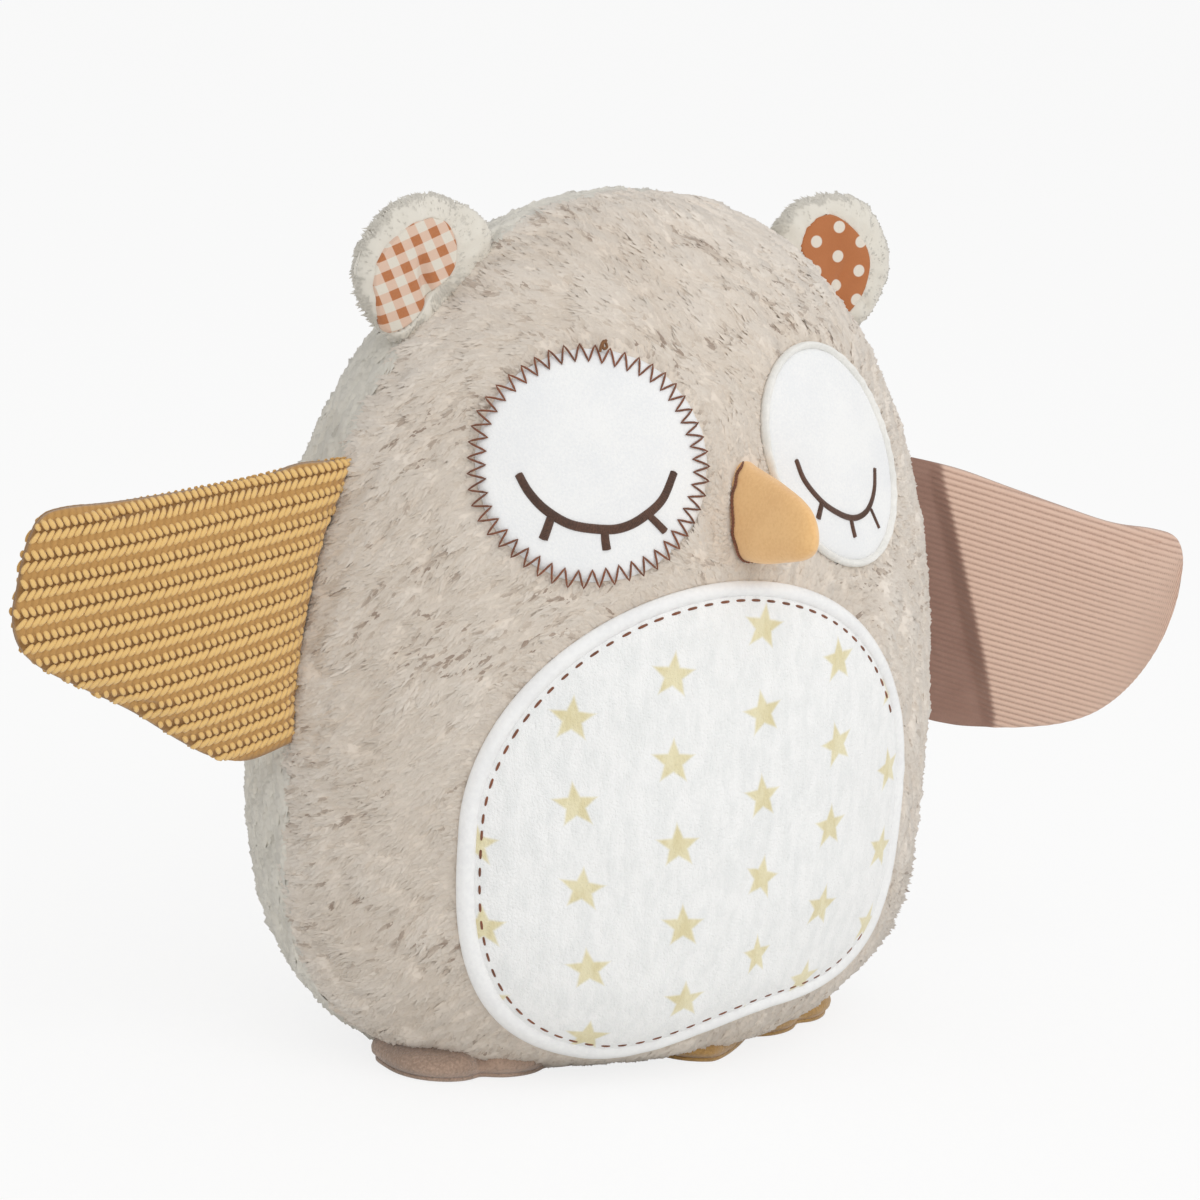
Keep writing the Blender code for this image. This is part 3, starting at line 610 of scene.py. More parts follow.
# the beak's place, the fur it covers and how far round it the pile is pushed aside, in millimetres
beakSpot = {"x": 3.0 * mm, "z": 174.0 * mm, "covered": (5.5 * mm, 13.0 * mm), "aside": (9.0, 1.0, 17.0)}


def eyeEdge(side, turn):
    # how far the disc's edge is from the eye's middle
    turn = np.asarray(turn, float)
    if side < 0:
        return np.full(turn.shape, eyes["rightRadius"])
    tilt = radians(eyes["leftTilt"])
    halves = eyes["leftHalves"]
    x, z = eyes["leftMiddle"]
    middle = ((x * cos(tilt) + z * sin(tilt)) / halves[0], (z * cos(tilt) - x * sin(tilt)) / halves[1])
    ahead = (np.cos(turn - tilt) / halves[0], np.sin(turn - tilt) / halves[1])
    a = ahead[0] ** 2 + ahead[1] ** 2
    b = ahead[0] * middle[0] + ahead[1] * middle[1]
    return (b + np.sqrt(b * b + a * (1 - middle[0] ** 2 - middle[1] ** 2))) / a


def eyeFrame(side):
    x, z = side * eyes["x"], eyes["z"]
    centre = np.array([x, float(frontY(x, z)), z])
    normal = frontNormal(x, z)
    up = np.array([0.0, 0.0, 1.0])
    up = unit(up - normal * np.dot(up, normal))
    return centre, np.cross(up, normal), up, normal


def onEye(side, across, high, lift):
    # a point of the disc's plane, dropped along its normal onto the front
    centre, right, up, normal = eyeFrame(side)
    across, high = np.asarray(across, float), np.asarray(high, float)
    flat = centre + across[..., None] * right + high[..., None] * up
    depth = np.zeros(across.shape)
    for _ in range(12):
        point = flat + depth[..., None] * normal
        depth = depth + (frontY(point[..., 0], point[..., 2]) - point[..., 1]) * normal[1]
    point = flat + depth[..., None] * normal
    return point + frontNormal(point[..., 0], point[..., 2]) * np.asarray(lift)[..., None]


def eyeReach(points, side):
    # how far each point is outside the disc's edge, and which way it lies
    centre, right, up, normal = eyeFrame(side)
    away = points - centre
    across, high = away @ right, away @ up
    return np.hypot(across, high) - eyeEdge(side, np.arctan2(high, across)), across, high


# body: backing cloths and fur

bodyCloth = {
    "thick": 2.5 * mm, "rings": 240, "frontSpokes": 200, "backSpokes": 110,
    "sink": 0.2 * mm, "rise": 0.08 * mm,
}
underside = {"spokes": 240, "middleY": 12.0 * mm, "thick": 3.0 * mm, "rimLift": 0.6 * mm, "pocket": 12.5 * mm}


def bodyGrid(rings, spokes, start, end, low=0.0):
    share = np.linspace(0.0, 1.0, rings)
    z = low + (bodyShape["height"] - low) * (0.5 - 0.5 * np.cos(pi * share)) * 0.99999
    angle = np.linspace(start, end, spokes)
    return bodyPoint(z[:, None], angle[None, :])


def overFoot(x, y):
    # 1 above a foot and a little round it
    inside = np.zeros(x.shape)
    for word in ("right", "left"):
        facts = feet[word]
        angle = radians(facts["yaw"])
        u = (x - facts["x"]) * cos(angle) + (y - facts["y"]) * sin(angle)
        v = (y - facts["y"]) * cos(angle) - (x - facts["x"]) * sin(angle)
        wide = feet["halfWidth"] + feet["room"] + feet["innerToe"] * ((u < 0) & (word == "left"))
        toe = feet["toeReach"] + feet["room"] + feet["toeRoom"]
        long = np.where(v > 0, feet["heelReach"] + feet["room"], toe)
        share = np.maximum(np.abs(u) / wide, np.abs(v) / long)
        share = np.where(v > 0, np.hypot(u / wide, v / long), share)
        inside = np.maximum(inside, smoothStep((1.10 - share) / 0.10))
    return inside


def makeBase():
    spokes = underside["spokes"]
    turn = np.linspace(0.0, 2 * pi, spokes + 1)[:-1]
    ground = np.zeros(spokes)
    edge = bodyPoint(ground, turn)
    edge[:, 1] = np.where(np.sin(turn) < 0, frontY(edge[:, 0], ground), edge[:, 1])
    middle = np.array([0.0, underside["middleY"], 0.0])
    shares = np.concatenate([np.linspace(0.0, 0.93, 48), [0.95, 0.965]])
    lower = middle + (edge - middle)[None] * shares[:, None, None]
    # its rim is lifted a little, and the toes droop out of a shallow pocket over each foot
    rim = np.where(shares > 0.94, underside["rimLift"], 0.0)[:, None]
    lower[..., 2] = rim + underside["pocket"] * overFoot(lower[..., 0], lower[..., 1])
    upper = lower + np.array([0.0, 0.0, underside["thick"]])
    piece = makePiece("bodyBaseCloth", twoSides(upper, lower), shellFaces(len(shares), spokes, True),
                      baseCloth, "body", "fur_grey")
    tidyMesh(piece)
    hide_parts("base_panel", "pellet_bag")


def scatterOnBody(count, start, end, lines=240):
    # roots spread evenly by area over one side of the body
    grid = bodyGrid(lines, lines, start, end, 0.8 * mm)
    normals = gridNormals(grid, False)
    along = np.linalg.norm(np.diff(grid, axis=0), axis=2)[:, :-1]
    across = np.linalg.norm(np.diff(grid, axis=1), axis=2)[:-1]
    area = (along * across).ravel()
    cell = random.choice(len(area), count, p=area / area.sum())
    row, column = np.divmod(cell, lines - 1)
    u, v = random.random(count)[:, None], random.random(count)[:, None]

    def sample(field):
        low = field[row, column] * (1 - v) + field[row, column + 1] * v
        high = field[row + 1, column] * (1 - v) + field[row + 1, column + 1] * v
        return low * (1 - u) + high * u

    return sample(grid), unit(sample(normals))


def combFur(points, normals, front):
    # the nap runs away from the face in front and down the back behind
    x, z = points[:, 0], points[:, 2]
    chaos = 0.0
    if front:
        # read between the known places
        known = np.array(napPlaces, float)
        apart = (x[:, None] / mm - known[:, 0]) ** 2 + (z[:, None] / mm - known[:, 1]) ** 2
        apart = apart / (2 * 17.0 ** 2)
        near = np.exp(-(apart - apart.min(1, keepdims=True)))
        angle = np.radians(known[:, 2])
        dx, dz = near @ np.cos(angle), near @ np.sin(angle)
        dy = -(normals[:, 0] * dx + normals[:, 2] * dz) / np.minimum(normals[:, 1], -0.2)
        ahead = unit(np.stack([dx, dy, dz], 1))
        # and tousled between the eyes
        chaos = np.exp(-(x / (18 * mm)) ** 2 - ((z - 195 * mm) / (40 * mm)) ** 2)
    else:
        sideways = np.clip((x - 5 * mm) / (55 * mm), -1.0, 1.0)
        upward = np.clip((z - 185 * mm) / (90 * mm), -0.45, 1.0)
        ahead = np.stack([sideways, np.zeros(len(x)), upward], 1)
    share = smoothStep((points[:, 1] + 4 * mm) / (26 * mm))[:, None]
    flow = ahead * (1 - share) + np.array([0.0, 0.45, -1.0]) * share
    flow = unit(flow - normals * np.sum(flow * normals, 1, keepdims=True))
    swirl = wander(points, 40.0, 1.0) * (0.25 + 0.7 * chaos) + wander(points, 150.0, 5.0) * 0.45
    return flow * np.cos(swirl)[:, None] + np.cross(normals, flow) * np.sin(swirl)[:, None]


def furUnderPieces(points):
    # where an applique or the beak covers the fur
    x, z = points[:, 0], points[:, 2]
    hidden = insideBelly(x, z, 1.2 * mm)
    for side in (-1, 1):
        hidden |= eyeReach(points, side)[0] < -0.5 * mm
    wide, tall = beakSpot["covered"]
    return hidden | ((np.abs(x - beakSpot["x"]) < wide) & (np.abs(z - beakSpot["z"]) < tall))


def brushAside(points, normals, naps):
    # pile beside an applique points away from it; returns how near each point is to one
    x, z, ahead = points[:, 0], points[:, 2], points[:, 1] < 0
    near = np.zeros(len(points))
    for side in (-1, 1):
        _, right, up, _ = eyeFrame(side)
        outside, across, high = eyeReach(points, side)
        close = np.clip(1 - outside / (5 * mm), 0.0, 1.0) * ahead
        away = unit(across[:, None] * right + high[:, None] * up)
        naps = naps + away * (close * 2.2)[:, None]
        near = np.maximum(near, close)
    for inset in (-1.5 * mm, -3.5 * mm):
        close = insideBelly(x, z, inset) & ahead
        away = unit(np.stack([x - belly["middleX"], x * 0, z - belly["middleZ"]], 1))
        naps = naps + away * (close * 0.8)[:, None]
        near = np.maximum(near, close * 0.6)
    away = np.stack([x - beakSpot["x"], x * 0, z - beakSpot["z"]], 1)
    reach = np.linalg.norm(away / np.array(beakSpot["aside"]), axis=1) * 1000
    close = np.clip((1.7 - reach) / 0.7, 0.0, 1.0) * ahead
    naps = naps + unit(away) * (close * 2.0)[:, None]
    near = np.maximum(near, close)
    return unit(naps - normals * np.sum(naps * normals, 1, keepdims=True)), near


def pileWaves(points, normals, naps):
    # the pile lies in soft waves and fine tufts; returns each root's lift and the way its patch faces
    def field(places):
        tufts = wanderAlong(places, naps, fur["rippleScale"], 6.0, fur["tuft"])
        return fur["wave"] * wander(places, fur["waveScale"], 2.0) + fur["ripple"] * tufts

    step = 0.5 * mm
    here = field(points)
    slopes = np.stack([(field(points + np.eye(3)[k] * step) - here) / step for k in range(3)], 1)
    slopes = slopes - normals * np.sum(slopes * normals, 1, keepdims=True)
    return here, unit(normals - slopes * fur["lean"])


def lockShades(points, naps, waves, depth):
    # pale locks, with painted shade: darker in the hollows of the pile's waves and in short streaks along the
    # nap, where it parts
    streak = smoothStep((wanderAlong(points, naps, fur["streakScale"], 9.0, fur["tuft"]) - 0.02) / 0.75)
    patches = smoothStep(wander(points, 45.0, 4.0) * 1.4 + 0.62)
    shade = 0.66 + 0.10 * wander(points, 55.0, 3.0) + 0.16 * waves / fur["wave"]
    return shade - depth * streak * (0.35 + 0.65 * patches)


def jitter(naps, normals, spread):
    # each lock turns a little its own way
    turn = random.normal(0.0, spread, len(naps))
    return naps * np.cos(turn)[:, None] + np.cross(normals, naps) * np.sin(turn)[:, None]


def insideBody(points, margin):
    x, y, z = points[:, 0], points[:, 1], np.clip(points[:, 2], 0.0, bodyShape["height"] - 0.1 * mm)
    wide = halfWidth(z)
    back = leanBack(z) + backDepth(z) * np.sqrt(np.clip(1 - (x / wide) ** 2, 0.0, 1.0))
    return (np.abs(x) < wide) & (y > frontY(x, z) + margin) & (y < back - margin)


def bodySkin(points, normals, front, streaks=1.0):
    # the ground of the pile: which way it lies, how high it stands, how it faces and its shade
    naps = combFur(points, normals, front)
    waves, shading = pileWaves(points, normals, naps)
    if not front:
        # the middle seam pulls the pile in
        seam = np.exp(-(points[:, 0] / (2.2 * mm)) ** 2)
        shade = lockShades(points, naps, waves, fur["backStreaks"] * streaks)
        return naps, waves - 0.8 * mm * seam, shading, shade, seam
    naps, near = brushAside(points, normals, naps)
    waves = waves * (1 - near)
    shade = lockShades(points, naps, waves, fur["frontStreaks"] * streaks)
    x, z = points[:, 0], points[:, 2]
    # pale towards the side seams, and painted light: paler on the owl's left and at the top of the head,
    # where the light falls
    rim = smoothStep((np.abs(x) / halfWidth(z) - 0.90) / 0.10)
    shade = shade + 0.12 * rim + 0.16 * smoothStep((x - 38 * mm) / (28 * mm))
    above = smoothStep((z - 238 * mm + 0.35 * (x - 10 * mm)) / (16 * mm))
    shade = shade + (0.92 - shade) * 0.6 * above
    swell, crease = leftEyeScallops(points)
    # painted shade: the creases between the scallops are drawn darker
    return naps, waves + (0.7 * swell - 0.8 * crease) * mm, shading, shade - 0.45 * crease, near


def leftEyeScallops(points, count=38):
    # round the left eye the pile stands in short scallops
    beside, across, tall = eyeReach(points, 1)
    seen = (points[:, 1] < 0) * (across > -14 * mm)
    along = np.arctan2(tall, across) * count / (2 * pi)
    crease = np.exp(-((along - np.round(along)) / 0.15) ** 2) * seen
    crease = crease * smoothStep(beside / mm - 0.8) * (1 - smoothStep((beside / mm - 6.5) / 3.0))
    return seen * np.exp(-((beside / mm - 3.8) / 2.2) ** 2), crease


def makeBodyCloth(name, start, end, finish, slot, nodes):
    # the cloth that carries the pile, in the pile's colours with the same painted shade and light
    front = start < 0
    rings, spokes = bodyCloth["rings"], bodyCloth["frontSpokes"] if front else bodyCloth["backSpokes"]
    grid = bodyGrid(rings, spokes, start, end)
    normals = gridNormals(grid, False)
    places = grid.reshape(-1, 3)
    _, waves, _, shade, _ = bodySkin(places, normals.reshape(-1, 3), front, 0.6)
    # flat near the floor, and lower where another piece lies on it
    raised = (waves + bodyCloth["rise"]) * smoothStep(places[:, 2] / (5 * mm))
    if front:
        raised = np.where(furUnderPieces(places), -bodyCloth["sink"], raised)
    outer = grid + normals * raised.reshape(rings, spokes, 1)
    inner = grid - normals * bodyCloth["thick"]
    outer[..., 2] = np.maximum(outer[..., 2], 0.0)
    inner[..., 2] = np.clip(inner[..., 2], 0.0, bodyShape["height"] - bodyCloth["thick"])
    inner[-1] = inner[-1].mean(0)
    outer[-1] = outer[-1].mean(0)
    shade = np.clip(np.concatenate([shade, shade]), 0.03, 0.97)
    piece = makePiece(name, twoSides(outer, inner), shellFaces(rings, spokes), finish, "body", slot,
                      {"lockShade": shade, "lockReach": np.full(len(shade), 0.55)})
    tidyMesh(piece)
    setBakeMap(piece)
    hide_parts(*nodes)


def makeFrontFur():
    points, normals = scatterOnBody(fur["frontLocks"], -pi, 0.0)
    keep = ~furUnderPieces(points)
    points, normals = points[keep], normals[keep]
    naps, waves, shading, shade, near = bodySkin(points, normals, True)
    count, x, z = len(points), points[:, 0], points[:, 2]
    length = np.clip(random.normal(fur["length"], fur["lengthSpread"], count), 2.5 * mm, 8 * mm)
    lift = fur["lift"] * np.clip(random.normal(1.0, 0.3, count), 0.4, 1.9)
    # the pile stands out more low on the owl's left, and lies short over the feet
    ruffled = smoothStep((x - 70 * mm) / (25 * mm)) * smoothStep((70 * mm - z) / (40 * mm))
    length, lift = length * (1 + 0.5 * ruffled), lift * (1 + 2.6 * ruffled)
    low = smoothStep((14 * mm - z) / (10 * mm))
    length, lift = length * (1 - 0.5 * low) * (1 - 0.45 * near), lift * (1 - 0.5 * low)
    shade = shade + random.normal(0.0, 0.045, count)
    naps = jitter(naps, normals, fur["turn"])
    places = points + normals * waves[:, None]
    width = fur["width"] * random.uniform(0.8, 1.25, count)
    # and it ends a little above them
    overFeet = np.maximum(smoothStep((x - 12 * mm) / (8 * mm)), smoothStep((-38 * mm - x) / (12 * mm)))
    floor = 0.3 * mm + 4.2 * mm * overFeet
    fields = (places, normals, naps, shading, length, width, lift, shade)
    high = z > np.median(z)
    for word, some in (("Upper", high), ("Lower", ~high)):
        growFur("bodyFrontFur" + word, *(field[some] for field in fields), furTaupe, "body", "fur",
                floor=floor[some])


def makeBackFur():
    points, normals = scatterOnBody(fur["backLocks"], 0.0, pi)
    naps, waves, shading, shade, seam = bodySkin(points, normals, False)
    count = len(points)
    length = np.clip(random.normal(fur["length"] * 1.35, fur["lengthSpread"], count), 3 * mm, 10 * mm)
    length = length * (1 - 0.5 * seam)
    lift = fur["backLift"] * np.clip(random.normal(1.0, 0.3, count), 0.4, 1.9) * (1 - 0.8 * seam)
    shade = shade + random.normal(0.0, 0.04, count)
    naps = jitter(naps, normals, fur["turn"])
    places = points + normals * waves[:, None]
    width = fur["width"] * 1.3 * random.uniform(0.8, 1.25, count)
    fields = (places, normals, naps, shading, length, width, lift, shade)
    floor = np.full(count, 0.3 * mm)
    right = points[:, 0] < 0
    for word, some in (("Right", right), ("Left", ~right)):
        growFur("bodyBackFur" + word, *(field[some] for field in fields), furGrey, "body", "fur_grey",
                floor=floor[some])


print("owl: body")
makeBodyCloth("bodyFrontCloth", -pi, 0.0, furTaupe, "fur", ["front_panel", "body_stuffing"])
makeBodyCloth("bodyBackClothRight", pi / 2, pi, furGrey, "fur_grey", ["back_panel_right"])
makeBodyCloth("bodyBackClothLeft", 0.0, pi / 2, furGrey, "fur_grey", ["back_panel_left"])
makeFrontFur()
makeBackFur()


# belly patch, its satin edging and the topstitch

def bellyPuff(x, z, away):
    # how far the patch stands off the body: soft dents where its filling gives, and one long slack crease
    puff = belly["lift"] * (0.55 + 0.45 * np.sqrt(np.clip(away / (7 * mm), 0.0, 1.0)))
    points = np.stack([x, z * 0, z], -1).reshape(-1, 3)
    dents = wander(points, 38.0, 3.0).reshape(x.shape) * 0.9 * mm
    puff = puff + dents * np.clip(away / (18 * mm), 0.0, 1.0)
    t = (z - 20 * mm) / (72 * mm)
    creaseX = (-8 + 22 * t) * mm
    crease = np.exp(-((x - creaseX) / (2.6 * mm)) ** 2) * smoothStep(t * 4) * smoothStep((1 - t) * 3)
    return puff - 0.9 * mm * crease


def bellyPrint(x, z):
    # the print lies flat on the cloth: its places are measured along the surface, in millimetres
    wide, tall, columns, rows = 90 * mm, 160 * mm, 360, 320
    heights = np.linspace(0.0, tall, rows + 1)
    gridX, gridZ = np.meshgrid(np.linspace(-wide, wide, columns + 1), heights)
    surface = onFront(gridX, gridZ, np.zeros(gridX.shape))
    arcX = np.cumsum(np.linalg.norm(np.diff(surface, axis=1), axis=2), 1)
    arcX = np.concatenate([np.zeros((rows + 1, 1)), arcX], 1)
    arcX = arcX - arcX[:, [columns // 2]]
    i = np.clip(z / tall * rows, 0, rows - 0.001)
    j = np.clip((x + wide) / (2 * wide) * columns, 0, columns - 0.001)
    i0, j0 = i.astype(int), j.astype(int)
    fi, fj = i - i0, j - j0
    arc = (arcX[i0, j0] * (1 - fi) * (1 - fj) + arcX[i0 + 1, j0] * fi * (1 - fj)
           + arcX[i0, j0 + 1] * (1 - fi) * fj + arcX[i0 + 1, j0 + 1] * fi * fj)
    line = onFront(np.full(rows + 1, -18 * mm), heights, np.zeros(rows + 1))
    arcZ = np.concatenate([[0.0], np.cumsum(np.linalg.norm(np.diff(line, axis=0), axis=1))])
    high = np.interp(z, heights, arcZ) - np.interp(116.5 * mm, heights, arcZ)
    # the patch was cut a little askew towards its lower right
    askew = 15.5 * np.clip((118 * mm - z) / (94 * mm), 0.0, 1.2) ** 1.6
    askew = askew * (1 - smoothStep((x + 2 * mm) / (34 * mm)))
    return np.stack([arc / mm - 5.6 - askew, high / mm, np.zeros(x.shape)], -1).reshape(-1, 3)


def makeBellyPatch(outline):
    middle = np.array([belly["middleX"], belly["middleZ"]])
    shares = np.concatenate([[0.0], np.linspace(0.03, 0.97, 64), [0.985, 1.0]])
    flat = middle + (outline - middle)[None] * shares[:, None, None]
    x, z = flat[..., 0], flat[..., 1]
    away = np.hypot(outline[:, 0] - middle[0], outline[:, 1] - middle[1])[None] * (1 - shares)[:, None]
    outer = onFront(x, z, bellyPuff(x, z, away))
    inner = onFront(x, z, np.full(x.shape, 0.2 * mm))
    spot = bellyPrint(x, z)
    piece = makePiece("bellyPatch", twoSides(outer, inner), shellFaces(len(shares), len(outline), True),
                      starMinky, "body", "minky", {"printSpot": np.concatenate([spot, spot])})
    tidyMesh(piece)
    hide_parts("belly_patch")


def makeBellyEdging(steps=13):
    # a rolled satin band round the patch
    outside, inside = bellyOutline(0.0), bellyOutline(belly["edging"] + 0.3 * mm)
    outer, inner = [], []
    for share in np.arange(steps) / (steps - 1):
        x, z = (outside + (inside - outside) * share).T
        rise = belly["edgingLift"] * (0.30 + 0.70 * sin(pi * (0.04 + 0.90 * share)) ** 0.6)
        ripple = 0.16 * mm * wander(np.stack([x, z * 0, z], 1), 260.0, 4.0)
        outer.append(onFront(x, z, rise + ripple * sin(pi * share)))
        inner.append(onFront(x, z, np.full(len(x), 0.15 * mm)))
    band = makePiece("bellyEdging", twoSides(np.array(outer), np.array(inner)),
                     shellFaces(steps, len(outside), True), satinWhite, "body", "satin")
    tidyMesh(band)
    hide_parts("belly_edging")


def makeTopstitch():
    # brown dashes just inside the edging, as far as the owl's left side
    stitch = {"pitch": 5.3 * mm, "dash": 3.8 * mm, "halfWidth": 0.42 * mm, "inset": 1.5 * mm, "endX": 62 * mm}
    shape = np.array([0.35, 0.9, 1.0, 1.0, 0.9, 0.35])
    line = bellyOutline(belly["edging"] + stitch["inset"], 1400)
    places = onFront(line[:, 0], line[:, 1], np.full(len(line), belly["lift"] * 0.78))
    steps = np.linalg.norm(np.roll(places, -1, 0) - places, axis=1)
    length = np.concatenate([[0.0], np.cumsum(steps)[:-1]])
    parts = []
    for k in range(int(length[-1] / stitch["pitch"])):
        low = k * stitch["pitch"]
        path = places[(length >= low) & (length <= low + stitch["dash"])]
        if len(path) < 4 or path[:, 0].mean() > stitch["endX"]:
            continue
        path = path[np.linspace(0, len(path) - 1, len(shape)).astype(int)]
        ups = frontNormal(path[:, 0], path[:, 2])
        # each dash dives into the cloth at its ends
        path = path - ups * (1 - shape)[:, None] * 0.5 * mm
        parts.append(tube(path, ups, stitch["halfWidth"] * shape, stitch["halfWidth"] * shape))
    makePiece("bellyTopstitch", *joinParts(parts), threadBrown, "body", "suede")


print("owl: belly")
makeBellyPatch(bellyOutline(belly["edging"] - 0.6 * mm))
makeBellyEdging()
makeTopstitch()


# eyes: felt discs, satin-stitched lids and lashes, zigzag and pearl edgings

eyeLines = {
    # places on the disc in millimetres, across and up from its middle
    -1: {"lid": [(-21.2, -3.2), (-18.0, -8.6), (-13.2, -13.4), (-6.1, -17.2), (3.3, -18.2), (9.0, -17.2),
                 (14.2, -14.2), (19.4, -9.1), (22.8, -1.0)],
         "lashes": [[(-11.9, -15.2), (-12.9, -18.4), (-14.0, -21.6)],
                    [(3.1, -18.4), (3.4, -21.2), (3.9, -24.0)],
                    [(15.2, -13.4), (18.0, -15.8), (20.6, -18.2)]]},
    1: {"lid": [(-23.7, 0.9), (-21.5, -5.7), (-15.8, -12.4), (-9.0, -16.7), (-2.4, -18.9), (3.3, -18.5),
                (7.6, -16.2), (11.2, -11.8), (13.3, -5.8)],
        "lashes": [[(-15.9, -12.9), (-17.0, -14.9), (-18.2, -17.2)],
                   [(-3.4, -19.2), (-3.0, -21.8), (-2.3, -24.6)],
                   [(7.4, -17.2), (9.2, -20.2), (11.2, -23.5)]]},
    "lidHalfWidths": {-1: 1.36 * mm, 1: 0.92 * mm}, "lidEnd": 0.82, "height": 0.55 * mm,
    "lashHalfWidths": {-1: (1.3 * mm, 1.22 * mm, 1.08 * mm), 1: (0.95 * mm, 0.75 * mm, 0.48 * mm)},
}


def curveThrough(points, count):
    # a smooth run through a few places
    points = np.asarray(points, float)
    ends = np.concatenate([[2 * points[0] - points[1]], points, [2 * points[-1] - points[-2]]])
    share = np.linspace(0, len(points) - 1, count)
    k = np.minimum(share.astype(int), len(points) - 2)
    t = (share - k)[:, None]
    a, b, c, d = ends[k], ends[k + 1], ends[k + 2], ends[k + 3]
    bend, twist = 2 * a - 5 * b + 4 * c - d, 3 * b - a - 3 * c + d
    return 0.5 * (2 * b + (c - a) * t + bend * t ** 2 + twist * t ** 3)


def threadBand(side, places, halfWide, count, base):
    # closely laid threads: a low band with a fine ridge for each thread
    flat = curveThrough(places, count) * mm
    path = onEye(side, flat[:, 0], flat[:, 1], np.full(count, base))
    ups = frontNormal(path[:, 0], path[:, 2])
    ridge = 1 + 0.16 * np.sin(np.arange(count) * pi * 0.5)
    ends = np.minimum(1.0, np.minimum(np.arange(count), np.arange(count)[::-1]) / 3 + 0.3)
    return tube(path, ups, halfWide * (0.94 + 0.06 * ridge) * ends, eyeLines["height"] * ridge * ends, 12)


def makeEye(side, name, inset, nodeName):
    rings, spokes = 26, 144
    share = np.linspace(0.0, 1.0, rings)[:, None]
    turn = 2 * pi * np.arange(spokes)[None] / spokes
    # cut by hand, so the edge is a little uneven
    edge = (eyeEdge(side, turn) - inset) * (1 + 0.004 * np.sin(turn * 9 + side) + 0.003 * np.sin(turn * 23))
    across, high = edge * share * np.cos(turn), edge * share * np.sin(turn)
    thick = 1.7 * mm * np.sqrt(np.clip((1 - share) * 12 + 0.12, 0.0, 1.0)) * np.ones_like(turn)
    flat = np.stack([across, high, across * 0], -1).reshape(-1, 3)
    thick = thick + wander(flat, 70.0, 2.0).reshape(thick.shape) * 0.25 * mm * (share < 0.95)
    outer = onEye(side, across, high, thick)
    inner = onEye(side, across, high, np.full(thick.shape, 0.2 * mm))
    disc = makePiece(name, twoSides(outer, inner), shellFaces(rings, spokes, True), feltWhite, "body", "felt")
    tidyMesh(disc)
    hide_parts(nodeName)


def makeLid(side, name):
    lines = eyeLines[side]
    lidCount, lashCount = 420, 60
    taper = np.sin(pi * np.clip(np.linspace(0.02, 0.98, lidCount), 0, 1)) ** 0.7
    width = eyeLines["lidHalfWidths"][side] * (eyeLines["lidEnd"] + (1 - eyeLines["lidEnd"]) * taper)
    parts = [threadBand(side, lines["lid"], width, lidCount, 1.75 * mm)]
    for lash, halfWide in zip(lines["lashes"], eyeLines["lashHalfWidths"][side]):
        width = halfWide * np.linspace(0.94, 1.06, lashCount)
        parts.append(threadBand(side, lash, width, lashCount, 1.8 * mm))
    makePiece(name, *joinParts(parts), threadDark, "body", "suede")


zigzag = {
    "turns": 49, "steps": 8, "depth": 5.0 * mm, "outer": 34.2 * mm, "wider": 1.3 * mm, "thread": 0.31 * mm,
}


def makeZigzag():
    # the right eye's overlocked edge
    count = zigzag["turns"] * zigzag["steps"]
    angle = 2 * pi * (np.arange(count) / count)
    wave = np.abs(((np.arange(count) / zigzag["steps"]) % 1.0) * 2 - 1)
    wave = smoothStep(wave) * 0.3 + wave * 0.7
    turn = angle + pi / 2
    # a little wider at the lower left
    outer = zigzag["outer"] + zigzag["wider"] * np.cos(turn - radians(198))
    reach = (outer - zigzag["depth"] * (1 - wave)) * (1 + 0.012 * np.sin(angle * 7))
    over = (1.95 - 0.55 * wave + 0.25 * np.sin(pi * wave)) * mm
    path = onEye(-1, reach * np.cos(turn), reach * np.sin(turn), over)
    ups = frontNormal(path[:, 0], path[:, 2])
    thread = zigzag["thread"]
    makePiece("rightEyeZigzag", *tube(path, ups, thread, thread, 8, True), threadBrown, "body", "suede")


def makeKnot(count=60):
    # a knot of golden thread at its top
    turns = [(1.2, 31.4), (1.5, 33.2), (2.4, 34.6), (3.2, 33.2), (2.3, 32.4), (1.9, 33.6), (3.0, 34.8)]
    knot = curveThrough(turns, count) * mm
    over = 2.9 * mm + 0.4 * mm * np.sin(np.linspace(0, 9, count))
    path = onEye(-1, knot[:, 0], knot[:, 1], over)
    ups = frontNormal(path[:, 0], path[:, 2])
    makePiece("rightEyeKnot", *tube(path, ups, 0.42 * mm, 0.42 * mm), threadGold, "body", "suede")


def makePearlEdging(spokes=220, steps=11):
    turn = 2 * pi * np.arange(spokes) / spokes
    outer, inner = [], []
    for share in np.arange(steps) / (steps - 1):
        reach = eyeEdge(1, turn) + (0.3 - 2.2 * share) * mm
        rise = 2.7 * mm * (0.25 + 0.75 * sin(pi * (0.05 + 0.9 * share)) ** 0.6)
        rise = rise + 0.12 * mm * np.sin(turn * 31) * sin(pi * share)
        outer.append(onEye(1, reach * np.cos(turn), reach * np.sin(turn), rise))
        inner.append(onEye(1, reach * np.cos(turn), reach * np.sin(turn), np.full(spokes, 0.15 * mm)))
    ring = makePiece("leftEyeEdging", twoSides(np.array(outer), np.array(inner)),
                     shellFaces(steps, spokes, True), satinPearl, "body", "satin")
    tidyMesh(ring)
    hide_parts("eye_edging_left")


print("owl: eyes")
makeEye(-1, "rightEye", 0.0, "eye_patch_right")
makeLid(-1, "rightEyeLid")
makeEye(1, "leftEye", 1.0 * mm, "eye_patch_left")
makeLid(1, "leftEyeLid")
makeZigzag()
makeKnot()
makePearlEdging()


# beak

